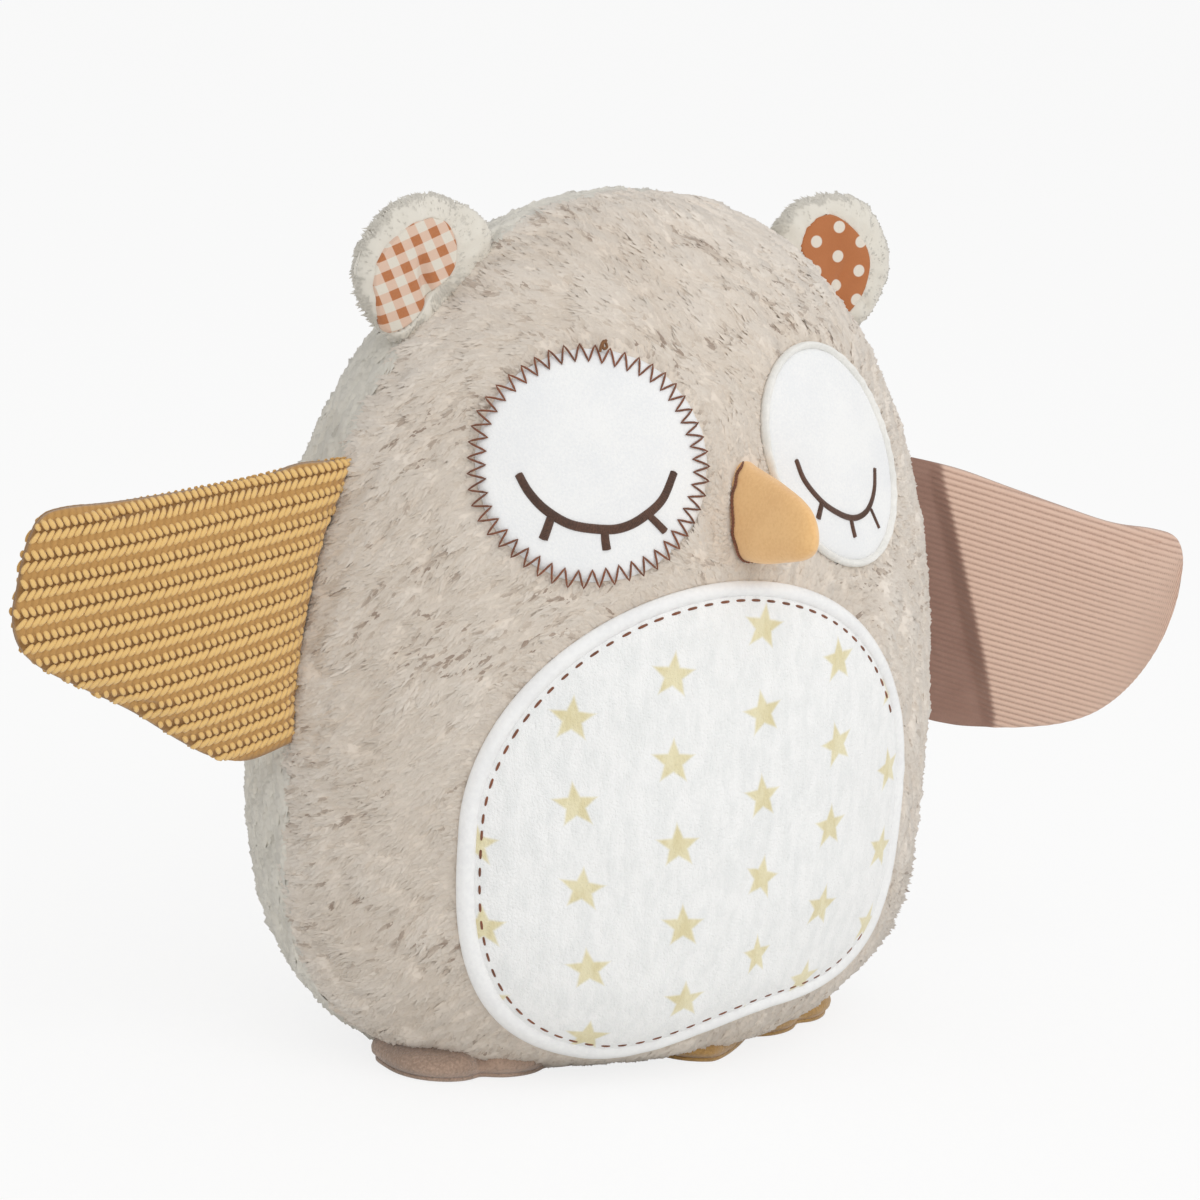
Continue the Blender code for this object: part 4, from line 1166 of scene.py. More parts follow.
beak = {
    "halfWidth": 8.8 * mm, "bottomZ": 0.618 * bodyShape["height"], "height": 31.0 * mm,
    "reach": 34.0 * mm, "rootDepth": 14.0 * mm, "tipRise": 11.0 * mm,
    "bulge": 0.25, "ridge": 0.35, "ridgePower": 1.5, "square": 0.7,
    "lengths": (0.0, 0.45, 0.70, 0.86, 0.95, 1.0), "sizes": (1.0, 0.83, 0.68, 0.52, 0.36, 0.16),
    "rings": 60, "spokes": 72, "cloth": 1.2 * mm,
}


def makeBeak():
    # rings from the root to the tip; returns its surface and the way each point faces
    rings, spokes = beak["rings"], beak["spokes"]
    rootY = float(frontY(beakSpot["x"], beak["bottomZ"] + beak["height"] / 2)) + beak["rootDepth"]
    length = -beak["reach"] - beak["rootDepth"]
    along = np.sin(np.linspace(0.0, pi / 2, rings))
    stations = curveThrough(np.stack([beak["lengths"], beak["sizes"]], 1), 400)
    size = np.interp(along, stations[:, 0], stations[:, 1])
    # the tip closes in a soft round
    size = size * np.sqrt(np.clip((1.012 - along) / 0.012, 0.0, 1.0)) ** 0.8
    along, size = along[:, None], size[:, None]
    half = beak["halfWidth"] * (size + beak["bulge"] * along * (1 - along))
    tall = beak["height"] * size
    low = beak["bottomZ"] + beak["tipRise"] * along ** 2 * (1 - size / 2)
    turn = (2 * pi * (np.arange(spokes) + 0.5) / spokes)[None]
    rise = (1 + np.sin(turn)) / 2
    width = half * np.sign(np.cos(turn)) * np.abs(np.cos(turn)) ** beak["square"]
    # narrower at its top, and flatter on the owl's right
    width = width * (1 - beak["ridge"] * rise ** beak["ridgePower"]) * np.where(width < 0, 0.86, 1.0)
    grid = np.broadcast_arrays(beakSpot["x"] + width, rootY + length * along, low + tall * rise)
    grid = np.stack(grid, -1)
    soft = wander(grid.reshape(-1, 3), 90.0, 6.0).reshape(grid.shape[:2]) * 0.5 * mm
    normals = gridNormals(grid, True)
    if np.mean(normals[..., 0] * (grid[..., 0] - beakSpot["x"])) < 0:
        normals = -normals
    outer = grid + normals * soft[..., None]
    outer[-1] = outer[-1].mean(0)
    inner = grid - normals * beak["cloth"]
    inner[-1] = outer[-1] + np.array([0.0, beak["cloth"], 0.0])
    piece = makePiece("beakCover", twoSides(outer, inner), shellFaces(rings, spokes, True), suedeTan,
                      "body", "suede")
    tidyMesh(piece)
    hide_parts("beak_cover", "beak_stuffing")
    return outer, normals


def makeBeakEdge(outer, normals, count=240):
    # the sewn edge, seen at the owl's right and below, where each line of the cone comes out of the fur
    seam = []
    for k in range(int(beak["spokes"] * 0.27), int(beak["spokes"] * 0.86)):
        line = outer[:, k]
        outside = line[:, 1] - frontY(line[:, 0], line[:, 2])
        j = int(np.argmax(outside < -0.5 * mm))
        seam.append(line[j] + normals[j, k] * 0.35 * mm)
    path = curveThrough(np.array(seam)[::3], count)
    ridge = 1 + 0.2 * np.sin(np.arange(count) * 2 * pi / 5)
    ridge = ridge * np.interp(np.linspace(0, 1, count), (0, 0.1, 0.6, 1), (0.5, 1.0, 0.9, 0.35))
    ups = frontNormal(path[:, 0], path[:, 2])
    edge = tube(path, ups, 0.42 * mm * ridge, 0.55 * mm * ridge)
    makePiece("beakSewnEdge", *edge, threadBrown, "body", "suede")


print("owl: beak")
makeBeakEdge(*makeBeak())


# blown-up pads: a thin pad of the outline is filled by cloth pressure

pads = {
    "voxel": 4.0 * mm, "pressure": 4.0, "frames": 20, "startShare": 0.96, "startHalf": 0.35, "cap": 7.0 * mm,
}


def padBlank(outline, half):
    # a thin flat pad, cut into small even faces
    middle = outline.mean(0)
    start = (middle + (outline - middle) * pads["startShare"]).tolist()
    bm = bmesh.new()
    rings = [[bm.verts.new((x, y, w)) for x, y in start] for w in (-half, half)]
    bm.faces.new(list(reversed(rings[0])))
    bm.faces.new(rings[1])
    for k in range(len(start)):
        n = (k + 1) % len(start)
        bm.faces.new((rings[0][k], rings[0][n], rings[1][n], rings[1][k]))
    bmesh.ops.recalc_face_normals(bm, faces=bm.faces)
    mesh = bpy.data.meshes.new("padBlank")
    bm.to_mesh(mesh)
    bm.free()
    blank = bpy.data.objects.new("padBlank", mesh)
    bpy.context.scene.collection.objects.link(blank)
    remesh = blank.modifiers.new("Remesh", "REMESH")
    remesh.mode = "VOXEL"
    remesh.voxel_size = pads["voxel"]
    bpy.context.view_layer.update()
    fine = bpy.data.meshes.new_from_object(blank.evaluated_get(bpy.context.evaluated_depsgraph_get()))
    blank.modifiers.clear()
    blank.data = fine
    return blank


def blowUpPad(outline, half):
    blank = padBlank(outline, half * pads["startHalf"])
    cloth = blank.modifiers.new("Cloth", "CLOTH")
    cloth.settings.use_pressure = True
    cloth.settings.uniform_pressure_force = pads["pressure"]
    cloth.settings.effector_weights.gravity = 0.0
    start = np.array([v.co for v in blank.data.vertices])
    scene = bpy.context.scene
    for frameNumber in range(1, pads["frames"] + 1):
        scene.frame_set(frameNumber)
    after = blank.evaluated_get(bpy.context.evaluated_depsgraph_get()).to_mesh()
    moved = np.array([v.co for v in after.vertices]) - start
    reach = np.linalg.norm(moved, axis=1, keepdims=True)
    end = start + moved * np.minimum(1.0, pads["cap"] / np.maximum(reach, 1e-9))
    tree = BVHTree.FromPolygons(end.tolist(), [tuple(p.vertices) for p in after.polygons])
    scene.frame_set(1)
    bpy.data.objects.remove(blank, do_unlink=True)
    return {"tree": tree, "low": end.min(0), "high": end.max(0)}


def blownHeights(blown, places, outline, sign):
    # the blown pad's height over each place, its outline matched to the real one
    low, high = outline.min(0), outline.max(0)
    share = (places - low) / (high - low)
    where = blown["low"][:2] + share * (blown["high"] - blown["low"])[:2]
    where = where.mean(0) + (where - where.mean(0)) * 0.985
    heights = []
    for x, y in where.tolist():
        hit = blown["tree"].ray_cast(Vector((x, y, sign * 0.2)), Vector((0.0, 0.0, -sign)))[0]
        heights.append(abs(hit.z) if hit else 0.0)
    return np.array(heights)


def outlineShare(places, outline, centre):
    # how far each place is from the middle, as a share of the way to the outline
    angles = np.arctan2(outline[:, 1] - centre[1], outline[:, 0] - centre[0])
    reaches = np.hypot(outline[:, 0] - centre[0], outline[:, 1] - centre[1])
    order = np.argsort(angles)
    angles, reaches = angles[order], reaches[order]
    angles = np.concatenate([angles - 2 * pi, angles, angles + 2 * pi])
    reaches = np.tile(reaches, 3)
    away = places - centre
    turn = np.arctan2(away[:, 1], away[:, 0])
    return np.hypot(away[:, 0], away[:, 1]) / np.interp(turn, angles, reaches)


def padProfile(places, outline, centre, half, power=0.85):
    # full in its middle, down to the seam at its outline
    share = outlineShare(places, outline, centre)
    return half * np.sqrt(np.clip(1 - share ** 2, 0.0, 1.0)) ** power


def padHeights(places, outline, centre, half, blown, sign):
    height = padProfile(places, outline, centre, half)
    if blown is None:
        return height
    found = blownHeights(blown, places, outline, sign)
    ratio = (found / found.max()) / np.maximum(height / half, 1e-3)
    return height * np.clip(ratio, 0.72, 1.18) ** 0.8


# wings

wings = {
    "seam": (0.3775, 0.7040), "length": 89.0 * mm, "hingeOffset": 4.5 * mm, "cloth": 1.4 * mm,
    "rootShares": (0.75, 0.57, 0.39, 0.21, 0.03),
    "right": {
        "side": -1, "half": 7.0 * mm, "yaw": 0.0, "centre": (0.48, 0.44), "rootTop": 1.01,
        "grid": (180, 190), "rib": 6.9 * mm, "slope": 0.33, "fan": 2.0, "fanFrom": 84 * mm,
        "outline": ((0.10, -0.045), (0.23, -0.045), (0.36, 0.0), (0.54, 0.08), (0.71, 0.135), (0.87, 0.19),
                    (0.955, 0.25), (0.995, 0.34), (1.0, 0.45), (0.995, 0.58), (0.97, 0.675), (0.90, 0.72),
                    (0.72, 0.765), (0.50, 0.83), (0.34, 0.88), (0.22, 0.925), (0.12, 0.975)),
    },
    "left": {
        "side": 1, "half": 5.5 * mm, "yaw": 20.0, "centre": (0.50, 0.33), "rootTop": 0.94,
        "grid": (350, 136), "wale": 1.98 * mm, "slope": 0.45,
        "outline": ((-0.01, -0.08), (0.10, -0.135), (0.22, -0.165), (0.38, -0.19), (0.53, -0.195),
                    (0.66, -0.165), (0.78, -0.085), (0.885, 0.04), (0.96, 0.19), (0.995, 0.33), (1.0, 0.41),
                    (0.975, 0.475), (0.90, 0.515), (0.74, 0.565), (0.55, 0.66), (0.37, 0.755), (0.18, 0.855)),
    },
}

knit = {
    "stitch": 1.95 * mm, "across": 2.75 * mm, "slant": 1.75 * mm, "half": 0.88 * mm, "thick": 0.50 * mm,
    "sink": 0.10 * mm, "gap": 0.24 * mm, "stray": 0.12 * mm,
    "sizes": (0.55, 0.92, 1.0, 1.0, 0.90, 0.62), "sides": 7,
}


def wingSeam(word):
    # the lower and upper ends of the side seam that holds the wing
    side = wings[word]["side"]
    low, high = (share * bodyShape["height"] for share in wings["seam"])
    return (Vector((side * float(halfWidth(low)), 0.0, low)),
            Vector((side * float(halfWidth(high)), 0.0, high)))


def wingFrame(word):
    # the wing's lower root, and its ways out, up and ahead
    side = wings[word]["side"]
    low, high = wingSeam(word)
    up = (high - low).normalized()
    out = Vector((side, 0.0, 0.0))
    out = (out - up * out.dot(up)).normalized()
    hinge = low + out * wings["hingeOffset"]
    out = Matrix.Rotation(-side * radians(wings[word]["yaw"]), 3, up) @ out
    ahead = up.cross(out) if side < 0 else out.cross(up)
    if ahead.y > 0:
        ahead = -ahead
    return np.array(hinge), np.array(out), np.array(up), np.array(ahead)


def wingOutline(word):
    # from the root's lower corner along the lower edge to the tip, back above it and down the root
    facts = wings[word]
    low, high = wingSeam(word)
    size = [wings["length"], (high - low).length]
    root = []
    for share in (facts["rootTop"], *wings["rootShares"]):
        point = low.lerp(high, share)
        bulge = float(halfWidth(point.z)) - abs(point.x)
        root.append((bulge + 0.3 * mm - wings["hingeOffset"], share * size[1]))
    root = np.array(root)
    whole = curveThrough(np.concatenate([root[-1:], np.array(facts["outline"]) * size, root[:1]]), 260)
    outline = np.concatenate([whole, curveThrough(root, 60)[1:-1]])
    return outline, np.array(facts["centre"]) * size


def ribSlope(v):
    # the knit's ribs fan out from the body
    facts = wings["right"]
    return facts["slope"] + (facts["fanFrom"] - v) * facts["fan"]


def ribSpan(outline, v):
    # where a rib meets the two sides of the outline, or nothing
    u = outline[:, 0]
    away = outline[:, 1] + ribSlope(v) * u - v
    after = np.roll(away, -1)
    crossing = np.nonzero((away < 0) != (after < 0))[0]
    if len(crossing) < 2:
        return None
    share = away[crossing] / (away[crossing] - after[crossing])
    hits = u[crossing] + (np.roll(u, -1)[crossing] - u[crossing]) * share
    return hits.min(), hits.max()


def spanGrid(outline, rows, columns):
    # places from the root to the tip and from the lower edge to the upper, out to the outline itself
    tip = int(np.argmax(outline[:, 0]))
    lower, upper = outline[:tip + 1], outline[tip:260][::-1]
    root = np.concatenate([outline[259:], outline[:1]])[::-1]
    along = np.linspace(0.0, 1.0, rows)
    along = (0.7 * along + 0.3 * (0.5 - 0.5 * np.cos(pi * along)))[:, None]

    def height(u):
        low = np.interp(u, np.maximum.accumulate(lower[:, 0]), lower[:, 1])
        high = np.interp(u, np.maximum.accumulate(upper[:, 0]), upper[:, 1])
        return low + (high - low) * along

    start = np.zeros((rows, 1))
    for _ in range(5):
        start = np.interp(height(start), root[:, 1], root[:, 0])
    close = [0.981, 0.988, 0.993, 0.9965, 0.9985, 0.9996, 1.0]
    share = np.concatenate([np.linspace(0.0, 0.972, columns - len(close)), close])
    u = start + (outline[tip, 0] - start) * share
    return np.stack([u, height(u)], -1)


def makeWingSide(word, name, sign, outline, centre, blown, finish, slot, nodes):
    facts = wings[word]
    hinge, out, up, ahead = wingFrame(word)
    rows, columns = facts["grid"]
    flat = spanGrid(outline, rows, columns).reshape(-1, 2)
    height = padHeights(flat, outline, centre, facts["half"], blown, sign)
    height = facts["shape"](flat, height, sign).reshape(rows, columns)
    # both cloths end on the seam
    height[[0, -1]] = 0.0
    height[:, [0, -1]] = 0.0
    height = height.ravel()
    raised = facts["relief"](flat) * np.clip(height / (1.2 * mm), 0.0, 1.0)
    outerW = sign * (height + raised)
    innerW = sign * np.maximum(height - wings["cloth"], 0.0)
    toWorld = lambda w: hinge + flat[:, :1] * out + flat[:, 1:] * up + w[:, None] * ahead
    # painted shade: the colour follows the relief, darker where it is low, and on the left wing darker in its
    # fold
    crown = facts["paintedShade"](flat, np.clip(raised / max(raised.max(), 1e-9), 0.0, 1.0))
    piece = makePiece(name, twoSides(toWorld(outerW), toWorld(innerW)), shellFaces(rows, columns), finish,
                      "wing_" + word, slot, {"lockReach": np.concatenate([crown, crown])}, ride=False)
    tidyMesh(piece, 1e-6)
    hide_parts(*nodes)
    joinWing(piece, word)


def joinWing(piece, word):
    # the piece's place is baked into its mesh
    hinge, _, up, _ = wingFrame(word)
    straight = np.array([wings[word]["side"], 0.0, 0.0])
    straight = unit(straight - up * np.dot(straight, up))
    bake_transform(piece)


def cordRelief(flat):
    # rounded wales with narrow grooves
    v = flat[:, 1] + wings["left"]["slope"] * flat[:, 0]
    phase = v / wings["left"]["wale"]
    return 0.42 * mm * (0.5 + 0.5 * np.cos(2 * pi * phase)) ** 0.8


def knitRelief(flat):
    # the ground between the ribs holds rows of small stitches
    facts = wings["right"]
    u = flat[:, 0]
    v = (flat[:, 1] + ribSlope(0.0) * u) / (1 + facts["fan"] * u)
    between = np.abs(np.sin(pi * v / facts["rib"]))
    rows = 1 + np.sin(2 * pi * u / knit["stitch"] + 1.2 * between)
    return (0.30 * between + 0.14 * between ** 4 * rows) * mm


def foldAt(flat):
    return (9.0 + 12.0 * np.clip((70 * mm - flat[:, 1]) / (80 * mm), 0.0, 1.0)) * mm


def paintedFoldShade(flat, crown):
    # painted shade: the cloth is drawn darker in the fold beside the body, where the body shades it, and
    # darker in its grooves
    dark = 1 - smoothStep((flat[:, 0] - foldAt(flat) - 1.0 * mm) / (2.6 * mm))
    return (0.38 + 0.62 * crown) * (1 - 0.62 * dark) - 0.30 * dark


def leftWingShape(flat, height, sign):
    # one deep fold beside the body, and a slow wave along the cloth
    rise = smoothStep((flat[:, 0] - foldAt(flat) + 2.0 * mm) / (4.5 * mm))
    wave = 1 + 0.10 * np.sin(flat[:, 0] * 95 + flat[:, 1] * 30)
    return height * (0.22 + 0.78 * rise) * wave if sign > 0 else height * wave


def rightWingShape(flat, height, sign):
    wave = 1 + 0.08 * np.sin(flat[:, 0] * 70 - flat[:, 1] * 45)
    return height * wave


# painted shade: each wing's cloth is drawn darker where its relief is low, and the left one also in its fold
wings["left"].update({"shape": leftWingShape, "relief": cordRelief, "paintedShade": paintedFoldShade})
wings["right"].update({"shape": rightWingShape, "relief": knitRelief, "paintedShade": lambda flat, crown: crown})


def stitchLegs(outline):
    # two legs of yarn for each stitch of each rib, laid in a V
    starts, ends = [], []
    for v in np.arange(-6, 20) * wings["right"]["rib"]:
        span = ribSpan(outline, v)
        if span is None:
            continue
        slope = ribSlope(v)
        for k in range(int((span[1] - span[0] + 4 * mm) / knit["stitch"]) + 2):
            u = span[0] - 2 * mm + (k + 0.5) * knit["stitch"]
            beyond = u + knit["slant"]
            pitch = 1 + 0.0016 * u / mm
            for leg in (-1, 1):
                stray = random.normal(0.0, knit["stray"], 2)
                starts.append((u + stray[0], v - slope * u + leg * knit["gap"] * pitch))
                ends.append((beyond + stray[1], v - slope * beyond + leg * knit["across"] * pitch))
    return np.array(starts), np.array(ends)


def yarnTubes(path, lift):
    # a tube of yarn along each leg, and a painted shade for each of its points: lighter at the crown that
    # faces out, darker on its underside and towards its ends
    count, rings = path.shape[:2]
    sides = knit["sides"]
    along = unit(np.gradient(path, axis=1))
    across = unit(np.cross(along, np.broadcast_to(lift, path.shape)))
    lift = np.cross(across, along)
    size = np.array(knit["sizes"])[None, :, None]
    swell = 0.35 + 0.65 * np.sin(pi * np.linspace(0.0, 1.0, rings))
    points, crowns = [], []
    for angle in 2 * pi * np.arange(sides) / sides:
        wide = across * cos(angle) * knit["half"] * size
        high = lift * sin(angle) * knit["thick"] * 0.8 * size
        points.append(path + wide + high)
        # painted shade: lighter on the side facing out, darker below and towards the ends
        crowns.append(np.broadcast_to(0.30 + 0.70 * max(sin(angle), 0.0) * swell, (count, rings)))
    faces = []
    for base in range(0, count * rings * sides, rings * sides):
        for low in range(base, base + (rings - 1) * sides, sides):
            for k in range(sides):
                m = (k + 1) % sides
                faces.append((low + k, low + m, low + sides + m, low + sides + k))
        faces.append(tuple(base + k for k in reversed(range(sides))))
        faces.append(tuple(base + (rings - 1) * sides + k for k in range(sides)))
    return np.stack(points, 2), faces, np.stack(crowns, 2).ravel()


def makeStitches(name, sign, outline, centre, blown):
    facts = wings["right"]
    hinge, out, up, ahead = wingFrame("right")
    starts, ends = stitchLegs(outline)
    keep = padProfile((starts + ends) / 2, outline, centre, 1.0) > 0.03
    starts, ends = starts[keep], ends[keep]
    shares = np.linspace(0.0, 1.0, len(knit["sizes"]))
    flat = starts[:, None] + (ends - starts)[:, None] * shares[None, :, None]
    # a leg that reaches past the seam is drawn back to it
    beyond = outlineShare(flat.reshape(-1, 2), outline, centre).reshape(*flat.shape[:2], 1)
    flat = centre + (flat - centre) / (np.maximum(beyond, 0.995) / 0.995)
    places = flat.reshape(-1, 2)
    heights = padHeights(places, outline, centre, facts["half"], blown, sign)
    heights = facts["shape"](places, heights, sign).reshape(flat.shape[:2])
    arch = knit["thick"] * (0.5 + 0.5 * np.sin(pi * (0.1 + 0.75 * shares))) - knit["sink"]
    path = hinge + flat[..., :1] * out + flat[..., 1:] * up + (sign * (heights + arch))[..., None] * ahead
    points, faces, crowns = yarnTubes(path, ahead * sign)
    piece = makePiece(name, points, faces, yarnMustard, "wing_right", "knit", {"lockReach": crowns},
                      ride=False)
    tidyMesh(piece, 1e-7)
    joinWing(piece, "right")


def makeWings():
    outline, centre = wingOutline("right")
    blown = blowUpPad(outline, wings["right"]["half"])
    for name, sign, nodes in (("rightWingFront", 1, ["wing_right_front", "wing_right_stuffing"]),
                              ("rightWingBack", -1, ["wing_right_back"])):
        makeWingSide("right", name + "Ground", sign, outline, centre, blown, yarnShadedGround, "knit", nodes)
        makeStitches(name + "Knit", sign, outline, centre, blown)
    outline, centre = wingOutline("left")
    blown = blowUpPad(outline, wings["left"]["half"])
    for name, sign, nodes in (("leftWingFront", 1, ["wing_left_front", "wing_left_stuffing"]),
                              ("leftWingBack", -1, ["wing_left_back"])):
        makeWingSide("left", name, sign, outline, centre, blown, cordMauve, "corduroy", nodes)


print("owl: wings")
makeWings()


# ears

ears = {
    "seatZ": 0.894 * bodyShape["height"], "y": 6.0 * mm, "rise": 7.0 * mm, "radius": 22.5 * mm,
    "half": 9.5 * mm, "rings": 46, "spokes": 160,
    "locks": 15000, "length": 4.2 * mm, "width": 1.05 * mm, "lift": 0.75 * mm, "turn": 0.26,
    "skin": -1.1 * mm, "press": 5.6 * mm, "liningLift": 0.6 * mm, "liningThick": 1.2 * mm, "foldTilt": 20.0,
    # the linings' edges are in millimetres, across and up
    "right": {
        "side": -1, "finish": ginghamCotton, "slot": "gingham", "foldAcross": 2.5 * mm, "foldDepth": 2.7 * mm,
        "lining": [(-71.9, 251.0), (-67.8, 249.6), (-65.6, 246.8), (-64.4, 242.4), (-64.9, 237.6),
                   (-67.2, 233.8), (-71.1, 230.6), (-73.6, 226.6), (-76.6, 221.6), (-80.2, 218.4),
                   (-83.3, 217.6), (-85.8, 220.6), (-88.0, 227.0), (-89.3, 233.0), (-88.6, 237.6),
                   (-86.6, 241.6), (-83.0, 245.6), (-77.6, 249.6)],
    },
    "left": {
        "side": 1, "finish": dottedCotton, "slot": "rust", "foldAcross": 3.5 * mm, "foldDepth": 0.6 * mm,
        "lining": [(60.4, 250.0), (63.6, 251.2), (67.8, 250.6), (72.8, 247.6), (77.8, 242.7), (80.2, 237.0),
                   (79.8, 231.0), (78.0, 225.8), (74.2, 221.0), (71.6, 219.9), (68.2, 223.8), (63.6, 229.3),
                   (59.4, 234.0), (56.2, 238.4), (55.0, 241.6), (56.6, 246.2)],
    },
}


def earSeat(side):
    # where the ear meets the head, and the way out from it
    z = ears["seatZ"]
    step = 0.5 * mm
    slope = float(halfWidth(z + step) - halfWidth(z - step)) / (2 * step)
    return np.array([side * float(halfWidth(z)), ears["y"], z]), unit(np.array([side, 0.0, -slope]))


def joinEar(piece):
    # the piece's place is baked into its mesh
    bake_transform(piece)


def earPlan(word):
    # the outlines of the ear and of its lining, their middles and the blown-up pad
    facts = ears[word]
    seat, out = earSeat(facts["side"])
    centre = (seat + out * ears["rise"])[[0, 2]]
    turn = 2 * pi * np.arange(ears["spokes"]) / ears["spokes"]
    radius = ears["radius"] * (1 + 0.012 * np.sin(turn * 5 + facts["side"]))
    outline = np.stack([centre[0] + radius * np.cos(turn), centre[1] + radius * np.sin(turn)], 1)
    edge = np.array(facts["lining"]) * mm
    edge = curveThrough(np.concatenate([edge, edge[:1]]), 121)[:-1]
    blown = blowUpPad(outline - centre, ears["half"])
    return {"outline": outline, "centre": centre, "edge": edge, "heart": edge.mean(0), "blown": blown}


def earSkin(flat, plan, sign):
    # the ground of the pile at places of the ear's disc
    centre, heart = plan["centre"], plan["heart"]
    away = (flat - centre) / ears["radius"]
    height = padHeights(flat - centre, plan["outline"] - centre, np.zeros(2), ears["half"] - 1.0 * mm,
                        plan["blown"], sign)
    roots = np.stack([flat[:, 0], ears["y"] - sign * height, flat[:, 1]], 1)
    bulge = np.sqrt(np.clip(1 - np.sum(away ** 2, 1), 0.02, 1.0))
    normals = unit(np.stack([away[:, 0], -sign * bulge, away[:, 1]], 1))
    # in front the pile runs away from the lining and over the rim, and behind it runs down
    naps = np.tile([0.0, 0.8, -0.5], (len(flat), 1))
    if sign > 0:
        away = flat - heart
        naps = np.stack([away[:, 0], np.full(len(flat), 18 * mm), away[:, 1]], 1)
    naps = unit(naps - normals * np.sum(naps * normals, 1, keepdims=True))
    waves, shading = pileWaves(roots, normals, naps)
    return roots + normals * (waves + ears["skin"])[:, None], normals, naps, waves, shading


def makeEarCover(word, plan):
    rings = np.sin(np.linspace(0.0, pi / 2, ears["rings"]))[:, None, None]
    places = (plan["centre"] + (plan["outline"] - plan["centre"])[None] * rings).reshape(-1, 2)
    sheets, shades = [], []
    for sign in (1, -1):
        skin, normals, _, waves, _ = earSkin(places, plan, sign)
        skin = skin + normals * 0.18 * mm
        if sign > 0:
            # pressed in behind the lining
            behind = padProfile(places, plan["edge"], plan["heart"], 1.0)
            skin[:, 1] += ears["press"] * np.clip(behind * 2.2, 0.0, 1.0)
        sheets.append(skin)
        # painted shade: darker in the hollows of the pile's waves
        shades.append(0.72 + 0.16 * waves / fur["wave"])
    shades = np.clip(np.concatenate(shades), 0.03, 0.97)
    faces = shellFaces(ears["rings"], ears["spokes"], True)
    cover = makePiece(word + "EarCover", twoSides(*sheets), faces, furEar, "ear_" + word, "fur",
                      {"lockShade": shades, "lockReach": np.full(len(shades), 0.55)}, ride=False)
    tidyMesh(cover)
    setBakeMap(cover)
    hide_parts("ear_" + word + "_cover", "ear_" + word + "_stuffing")
    joinEar(cover)


def liningPrint(places, side):
    # places on the lining, counted in repeats of its print
    if side < 0:
        # two checks of the gingham, along and across its tilted rows
        checks = np.array([(5.45, 2.4), (-2.65, 5.3)])
        spots = (places / mm - (-82.7, 242.0)) @ np.linalg.inv(checks) + 0.5
    else:
        spots = (places / mm - (68.2, 238.6)) / (7.9, 8.9)
    return np.concatenate([spots, np.zeros((len(spots), 1))], 1)


def makeEarLining(word, plan):
    # a little hollow, with one soft fold
    facts = ears[word]
    side, edge, heart = facts["side"], plan["edge"], plan["heart"]
    rows = np.concatenate([np.linspace(0.0, 0.94, 26), [0.975, 1.0]])
    flat = heart + (edge - heart)[None] * rows[:, None, None]
    places = flat.reshape(-1, 2)
    height = padProfile(places, plan["outline"], plan["centre"], ears["half"] - 1.2 * mm)
    tilt = radians(ears["foldTilt"])
    across = (places - heart) @ np.array([cos(tilt), -side * sin(tilt)])
    up = (places - heart) @ np.array([side * sin(tilt), cos(tilt)])
    fold = np.exp(-((across - (facts["foldAcross"] + up * 0.1)) / (1.6 * mm)) ** 2)
    fold = fold * smoothStep((up + 16 * mm) / (6 * mm)) * smoothStep((8 * mm - up) / (12 * mm))
    height, fold = height.reshape(flat.shape[:2]), (fold * facts["foldDepth"]).reshape(flat.shape[:2])
    hollow = 1.3 * mm * (1 - rows ** 2)[:, None]
    lift = ears["liningLift"] - hollow - fold - 0.9 * mm * (rows[:, None] > 0.99)
    outer = np.stack([flat[..., 0], ears["y"] - height - lift, flat[..., 1]], -1)
    inner = outer + np.array([0.0, ears["liningThick"], 0.0])
    spots = liningPrint(places, side)
    lining = makePiece(word + "EarLining", twoSides(outer, inner), shellFaces(len(rows), len(edge), True),
                       facts["finish"], "ear_" + word, facts["slot"],
                       {"printSpot": np.concatenate([spots, spots])}, ride=False)
    tidyMesh(lining)
    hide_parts("ear_" + word + "_lining")
    joinEar(lining)


def makeEarFur(word, plan):
    # fluffy rim and back: none where the lining lies, none inside the head
    parts = []
    for sign in (1, -1):
        count = ears["locks"] // 2
        turn = random.uniform(0, 2 * pi, count)
        reach = np.sqrt(random.uniform(0.0, 1.0, count)) * ears["radius"]
        flat = plan["centre"] + np.stack([reach * np.cos(turn), reach * np.sin(turn)], 1)
        roots, normals, naps, waves, shading = earSkin(flat, plan, sign)
        naps = jitter(naps, normals, ears["turn"])
        keep = ~insideBody(roots, 2 * mm)
        if sign > 0:
            keep &= padProfile(flat, plan["edge"], plan["heart"], 1.0) < 0.05
        parts.append([field[keep] for field in (roots, normals, naps, waves, shading)])
    roots, normals, naps, waves, shading = (np.concatenate(fields) for fields in zip(*parts))
    count = len(roots)
    length = ears["length"] * np.clip(random.normal(1.0, 0.2, count), 0.5, 1.6)
    lift = ears["lift"] * np.clip(random.normal(1.0, 0.35, count), 0.4, 2.2)
    # painted shade: darker in the hollows of the pile's waves, with a random tone on top
    shade = 0.70 + 0.16 * waves / fur["wave"] + random.normal(0.0, 0.06, count)
    piece = growFur(word + "EarFur", roots, normals, naps, shading, length, ears["width"], lift, shade,
                    furEar, "ear_" + word, "fur", ride=False, tipShare=0.5)
    joinEar(piece)


def makeEar(word):
    plan = earPlan(word)
    makeEarCover(word, plan)
    makeEarLining(word, plan)
    makeEarFur(word, plan)


print("owl: ears")
makeEar("right")
makeEar("left")


# feet

